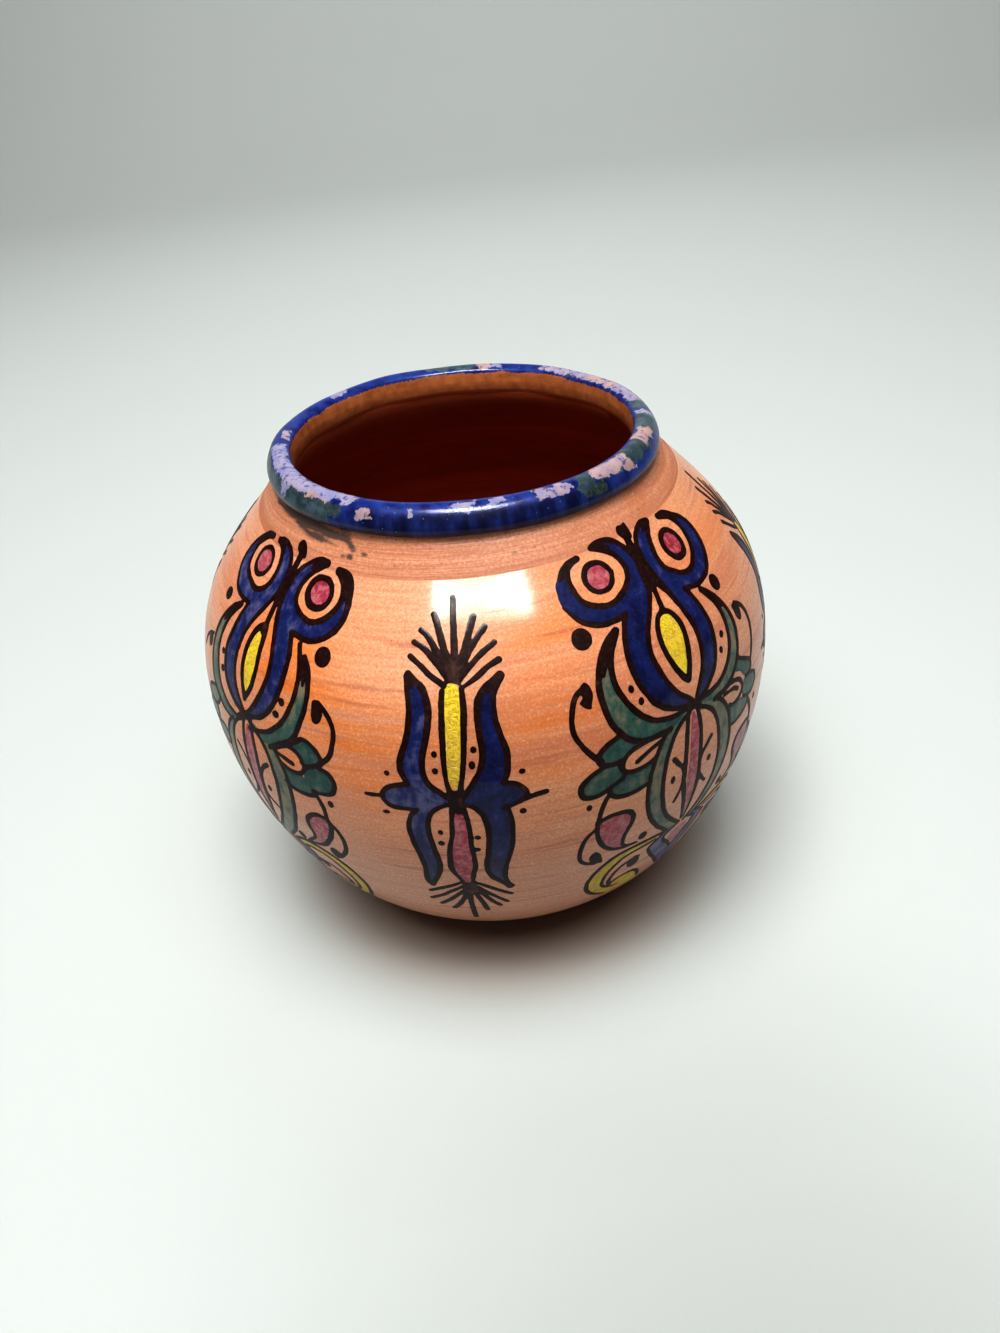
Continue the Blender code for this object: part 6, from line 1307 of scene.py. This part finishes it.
rim_grid = section_grid(rim_outline, RIM_COLS, rim_lumps)
WORN = [
    (-88, -71, 3.5, 7.2, 0.1),
    (-72, -50, 3.6, 7.4, 0.25),
    (-70, -50, 4.4, 6.4, 1.0),
    (-52, -33, 3.6, 7.0, 0.1),
    (-52, -42, 5.8, 7.3, 1.0),
    (-63, -60, 7.2, 10.8, 0.1),
    (-99, -92, 3.5, 5.0, 0.5),
    (-31.5, -27, 7.5, 9.5, 0.6),
    (-17, -15, 6.8, 7.8, 0.2),
    (-5.5, 1, 5.5, 7.7, 0.1),
    (5, 9, 5.0, 6.6, 0.1),
    (17.5, 28, 5.3, 7.5, 0.45),
    (36, 50, 4.5, 7.5, 0.6),
    (48, 52, 7.3, 9.2, 1.0),
    (63, 73, 4.0, 7.5, 0.8),
    (85, 88, 3.5, 7.5, 0.3),
    (97, 112, 3.4, 7.4, 0.4),
    (110, 128, 3.4, 7.3, 0.6),
    (126, 147, 3.5, 7.4, 0.4),
    (162, 166, 3.5, 7.0, 0.0),
    (166, 171, 3.5, 7.2, 1.0),
    (-138, -130, 3.8, 6.6, 0.0),
]
DAUB = [
    (-108, -78, 7.6, 12.2, 0.35),
    (-80, -41, 7.8, 12.0, 0.15),
    (-60, -37, 7.7, 9.6, 0.55),
    (30, 36, 5.0, 9.8, 0.4),
    (31, 38, 8.0, 10.0, 0.9),
    (39, 46, 6.5, 8.0, 0.25),
    (50, 68, 4.5, 8.5, 0.35),
    (72, 85, 3.6, 8.0, 0.15),
    (88, 97, 3.6, 7.6, 0.1),
    (171, 190, 3.6, 7.4, 0.0),
    (115, 117, 3.2, 4.4, 0.2),
    (124, 126, 3.2, 4.2, 0.2),
    (128, 130, 3.2, 4.3, 0.2),
    (133, 137, 3.2, 4.5, 0.2),
]
rim_az = np.degrees(round_pot(RIM_COLS))[None, :]
rim_az = (rim_az + 180) % 360 - 180
rim_arc = rim_s[:, None] * np.ones_like(rim_az)
worn, pink = patch_field(rim_az, rim_arc, WORN, 700)
daub, deep = patch_field(rim_az, rim_arc, DAUB, 900)
lip = 2.3 - rim_arc + 0.25 * rough(rim_az / 6, rim_arc * 0, 77)
rim = lathe(
    "vase_rim",
    rim_grid,
    {
        "worn": np.clip(worn, -1, 1),
        "pink": pink,
        "daub": np.clip(daub, -1, 1),
        "deep": deep,
        "lip": np.clip(lip, -1, 1),
        "side": step(rim_arc, 7.3, 8.6),
    },
    sharp=60,
)

# The base slab and the foot ring under it.
slab_low = FOOT_H - 0.0002
slab_edge = globe_rows(np.linspace(latitude_at(SLAB_TOP_Z + 0.0001), latitude_at(slab_low), 14))
slab_outline = (
    [(0.0, SLAB_TOP_Z)]
    + [(r, SLAB_TOP_Z + 0.00012 * math.sin(r * 900)) for r in np.linspace(0.0015, slab_edge[0][0] - 0.003, 34)]
    + slab_edge
    + [(r, slab_low - 0.00010 * math.sin(r * 1100)) for r in np.linspace(slab_edge[-1][0] - 0.003, 0.0015, 30)]
    + [(0.0, slab_low)]
)
base = disc("vase_base", section_grid(slab_outline, 256))
foot_curve = curve_through(
    [
        (FOOT_OUT_R + 0.0012, FOOT_H + 0.0003),
        (FOOT_OUT_R + 0.0002, FOOT_H * 0.62),
        (FOOT_OUT_R, 0.0010),
        (FOOT_OUT_R - 0.0003, 0.0003),
        (FOOT_OUT_R - 0.0012, 0.0),
        (FOOT_IN_R + 0.0012, 0.0),
        (FOOT_IN_R + 0.0003, 0.0003),
        (FOOT_IN_R, 0.0010),
        (FOOT_IN_R - 0.0003, FOOT_H * 0.62),
        (FOOT_IN_R - 0.0014, FOOT_H + 0.0003),
    ],
    closed=True,
    pieces=6,
)
foot_az = round_pot(256)[None, :]
foot = lathe(
    "vase_foot",
    turned_point(
        foot_az, foot_curve[:, :1], np.maximum(foot_curve[:, 1:], 0.0) + 0 * foot_az
    ),
)

# ------------------------------------------------------------------ the ornament
clay = globe_material()
inner = inside_material()
paints = {colour: paint_material(colour) for colour in FILM}
LARGE_AXIS, SMALL_AXIS = 36.5, -8.0
MOTIFS = [
    ("floral_front_left", LARGE_LEFT, 0, 1),
    ("floral_front_right", LARGE_RIGHT, 0, 2),
    ("spray_front", SMALL_FRONT, 0, 3),
    ("spray_right", SMALL_FRONT, 80.0 - SMALL_AXIS, 4),
    ("floral_back_right", LARGE_RIGHT, 124.0 - LARGE_AXIS, 5),
    ("spray_back", SMALL_FRONT, 169.0 - SMALL_AXIS, 6),
    ("floral_back_left", LARGE_RIGHT, 214.0 - LARGE_AXIS, 7),
    ("spray_left", SMALL_FRONT, -99.0 - SMALL_AXIS, 8),
]
painted = []
for name, items, turn, hand in MOTIFS:
    for piece in paint_motif(name, repainted(items, turn, hand), hand):
        colour = piece.name.rsplit("_", 1)[1]
        piece.data.materials.append(paints[colour])
        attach(piece, "root")
        painted.append(piece)


def skin(obj, materials, inside_rows=None, node=None):
    """Materials, the body it rides on, and the CAD node it stands for."""
    for material in materials:
        obj.data.materials.append(material)
    if inside_rows is not None:
        # the second material goes on the faces whose rows are on the inside
        rows, cols = inside_rows
        index = np.zeros(len(obj.data.polygons), np.int32).reshape(-1, cols)
        index[rows] = 1
        obj.data.polygons.foreach_set("material_index", index.ravel())
    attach(obj, "root")
    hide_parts(node)


skin(wall, [clay, inner], (slice(len(outer_rows) - 1, None), AROUND), "globe_wall")
skin(neck, [neck_material(), inner], (slice(2 + len(neck_outer) - 1, None), NECK_COLS), "neck_collar")
skin(rim, [rim_material(), inner], (slice(len(shown) + 2, len(shown) + 6), RIM_COLS), "rim_band")
base.data.materials.append(plain_clay_material("base_clay_underside", (206, 128, 90), (178, 100, 68)))
base.data.materials.append(inner)
flags = np.array([1 if p.center.z > SLAB_TOP_Z - 0.0006 and math.hypot(p.center.x, p.center.y) < slab_edge[0][0] - 0.002 else 0 for p in base.data.polygons], np.int32)
base.data.polygons.foreach_set("material_index", flags)
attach(base, "root")
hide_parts("base_slab")
skin(foot, [plain_clay_material("foot_clay_bare", (198, 116, 78), (166, 90, 60))], None, "foot_ring")

# ------------------------------------------------------------------ floor, light and camera
EDGE = -0.235  # the paper's front edge, out of the picture: the varnish shows nothing past it


def sheet_of(name, rows):
    """A smooth sheet from rows of (y, z), 6.4 m wide."""
    xs = np.linspace(-3.2, 3.2, 25)
    p = np.array([[(x, y, z) for x in xs] for y, z in rows]).reshape(-1, 3)
    i, j = np.meshgrid(np.arange(len(rows) - 1), np.arange(24), indexing="ij")
    at = lambda a, b: (a * 25 + b).ravel()
    return fast_mesh(name, p, [np.stack([at(i, j), at(i, j + 1), at(i + 1, j + 1), at(i + 1, j)], 1)])


sweep = [(y, 0.0) for y in np.linspace(EDGE, 1.15, 18)]
sweep += [(1.15 + 0.9 * math.sin(a), 0.9 - 0.9 * math.cos(a)) for a in np.radians(np.linspace(4, 78, 24))]
sweep += [(sweep[-1][0] + 0.03 * k, sweep[-1][1] + 0.16 * k) for k in range(1, 12)]
floor = sheet_of("paper_floor", sweep)
fore = sheet_of("paper_floor_front", [(y, 0.0) for y in np.linspace(-2.4, EDGE, 8)])
fore.visible_glossy = False
m = Look("pale_paper")
tooth = m.noise(m.scaled(1, 1, 1), 900.0, 3.0, 0.6)
wide = m.noise(m.scaled(1, 1, 1), 3.0, 2.0)
paper = m.mix(m.span(tooth, 0.3, 0.7, 0.0, 0.12), srgb(174, 178, 175), srgb(167, 171, 168))
paper = m.mix(m.span(wide, 0.3, 0.7, 0.0, 0.2), paper, srgb(170, 174, 171))
# painted shadow: a soft darker patch on the paper in front of the pot, right of the middle, standing in for the shadow
# of something out of view
shade = m.near((0.04, -0.185, 0.0), 0.02, 0.15)
paper = m.mix(m.calc("MULTIPLY", shade, 0.40), paper, srgb(118, 119, 116))
bounce = m.near((0.0, -0.006, 0.0), 0.036, 0.066)  # the clay's warm reflection round the foot
paper = m.mix(m.calc("MULTIPLY", bounce, 0.75), paper, srgb(158, 136, 118))
m.finish(paper, 0.85, m.bump(tooth, 0.0001, 0.3), level=0.2)
for sheet in (floor, fore):
    sheet.data.materials.append(m.material)


def softbox(name, place, aim, size, power, colour=(1, 1, 1)):
    """A rectangular soft light at a place, facing a point."""
    light = bpy.data.lights.new(name, "AREA")
    light.shape = "RECTANGLE"
    light.size, light.size_y = size
    light.energy = power
    light.color = colour
    obj = bpy.data.objects.new(name, light)
    obj.location = place
    obj.rotation_euler = (Vector(aim) - Vector(place)).to_track_quat("-Z", "Y").to_euler()
    bpy.context.scene.collection.objects.link(obj)
    return obj


def around(elevation, azimuth, distance):
    """A place on the dome over the pot, azimuth counted from the front towards +X."""
    e, a = math.radians(elevation), math.radians(azimuth)
    return (
        distance * math.cos(e) * math.sin(a),
        -distance * math.cos(e) * math.cos(a),
        distance * math.sin(e) + 0.04,
    )


middle = (0.0, 0.0, 0.04)
overhead = softbox("overhead", around(81, -15, 1.0), middle, (0.48, 0.48), 11.2)
window = softbox("window", around(66, -1, 1.0), middle, (0.62, 0.40), 3.4)
left = softbox("left_of_window", around(66, -45, 1.0), middle, (0.42, 0.42), 4.6)
right_side = softbox("right_of_window", around(66, 45, 1.0), middle, (0.42, 0.42), 2.8)
behind = softbox("back_fill", around(42, 180, 1.0), middle, (0.42, 0.42), 1.4)
backdrop = softbox("backdrop_light", (0.25, 0.75, 1.5), (0.15, 2.2, 0.45), (2.3, 0.6), 32.0)
for lamp in (overhead, left, right_side, behind, backdrop):
    lamp.visible_glossy = False  # only the window shows in the varnish
pane = softbox("window_pane", around(66.2, -1.5, 1.0), middle, (0.59, 0.352), 34.0)
pane.visible_diffuse = False

world = bpy.data.worlds.new("studio")
world.use_nodes = True
sky = world.node_tree.nodes["Background"]
sky.inputs["Color"].default_value = (0.96, 1.0, 0.98, 1.0)
sky.inputs["Strength"].default_value = 0.06
# past the paper's edges the studio wall is paler than the light it gives
wall_colour = world.node_tree.nodes.new("ShaderNodeBackground")
wall_colour.inputs["Color"].default_value = (0.96, 1.0, 0.98, 1.0)
wall_colour.inputs["Strength"].default_value = 0.30
ray = world.node_tree.nodes.new("ShaderNodeLightPath")
either = world.node_tree.nodes.new("ShaderNodeMixShader")
world.node_tree.links.new(ray.outputs["Is Camera Ray"], either.inputs["Fac"])
world.node_tree.links.new(sky.outputs["Background"], either.inputs[1])
world.node_tree.links.new(wall_colour.outputs["Background"], either.inputs[2])
world.node_tree.links.new(either.outputs["Shader"], world.node_tree.nodes["World Output"].inputs["Surface"])
bpy.context.scene.world = world
bpy.context.scene.view_settings.view_transform = "Standard"
bpy.context.scene.view_settings.gamma = VIEW_GAMMA

yaw, pitch, roll = 0.0122972, 0.6021282, -0.1123234
ahead = Vector((math.sin(yaw) * math.cos(pitch), math.cos(yaw) * math.cos(pitch), -math.sin(pitch)))
right = ahead.cross(Vector((0, 0, 1))).normalized()
up = right.cross(ahead)
right_r = math.cos(roll) * right + math.sin(roll) * up
up_r = -math.sin(roll) * right + math.cos(roll) * up
camera_data = bpy.data.cameras.new("camera")
camera_data.sensor_width = 36.0
camera_data.sensor_fit = "AUTO"
camera_data.lens = 27.06
camera_data.clip_start = 0.01
camera = bpy.data.objects.new("camera", camera_data)
turn = Matrix((right_r, up_r, -ahead)).transposed().to_4x4()
camera.matrix_world = Matrix.Translation((0.0, -0.219480, 0.205101)) @ turn
bpy.context.scene.collection.objects.link(camera)
bpy.context.scene.camera = camera
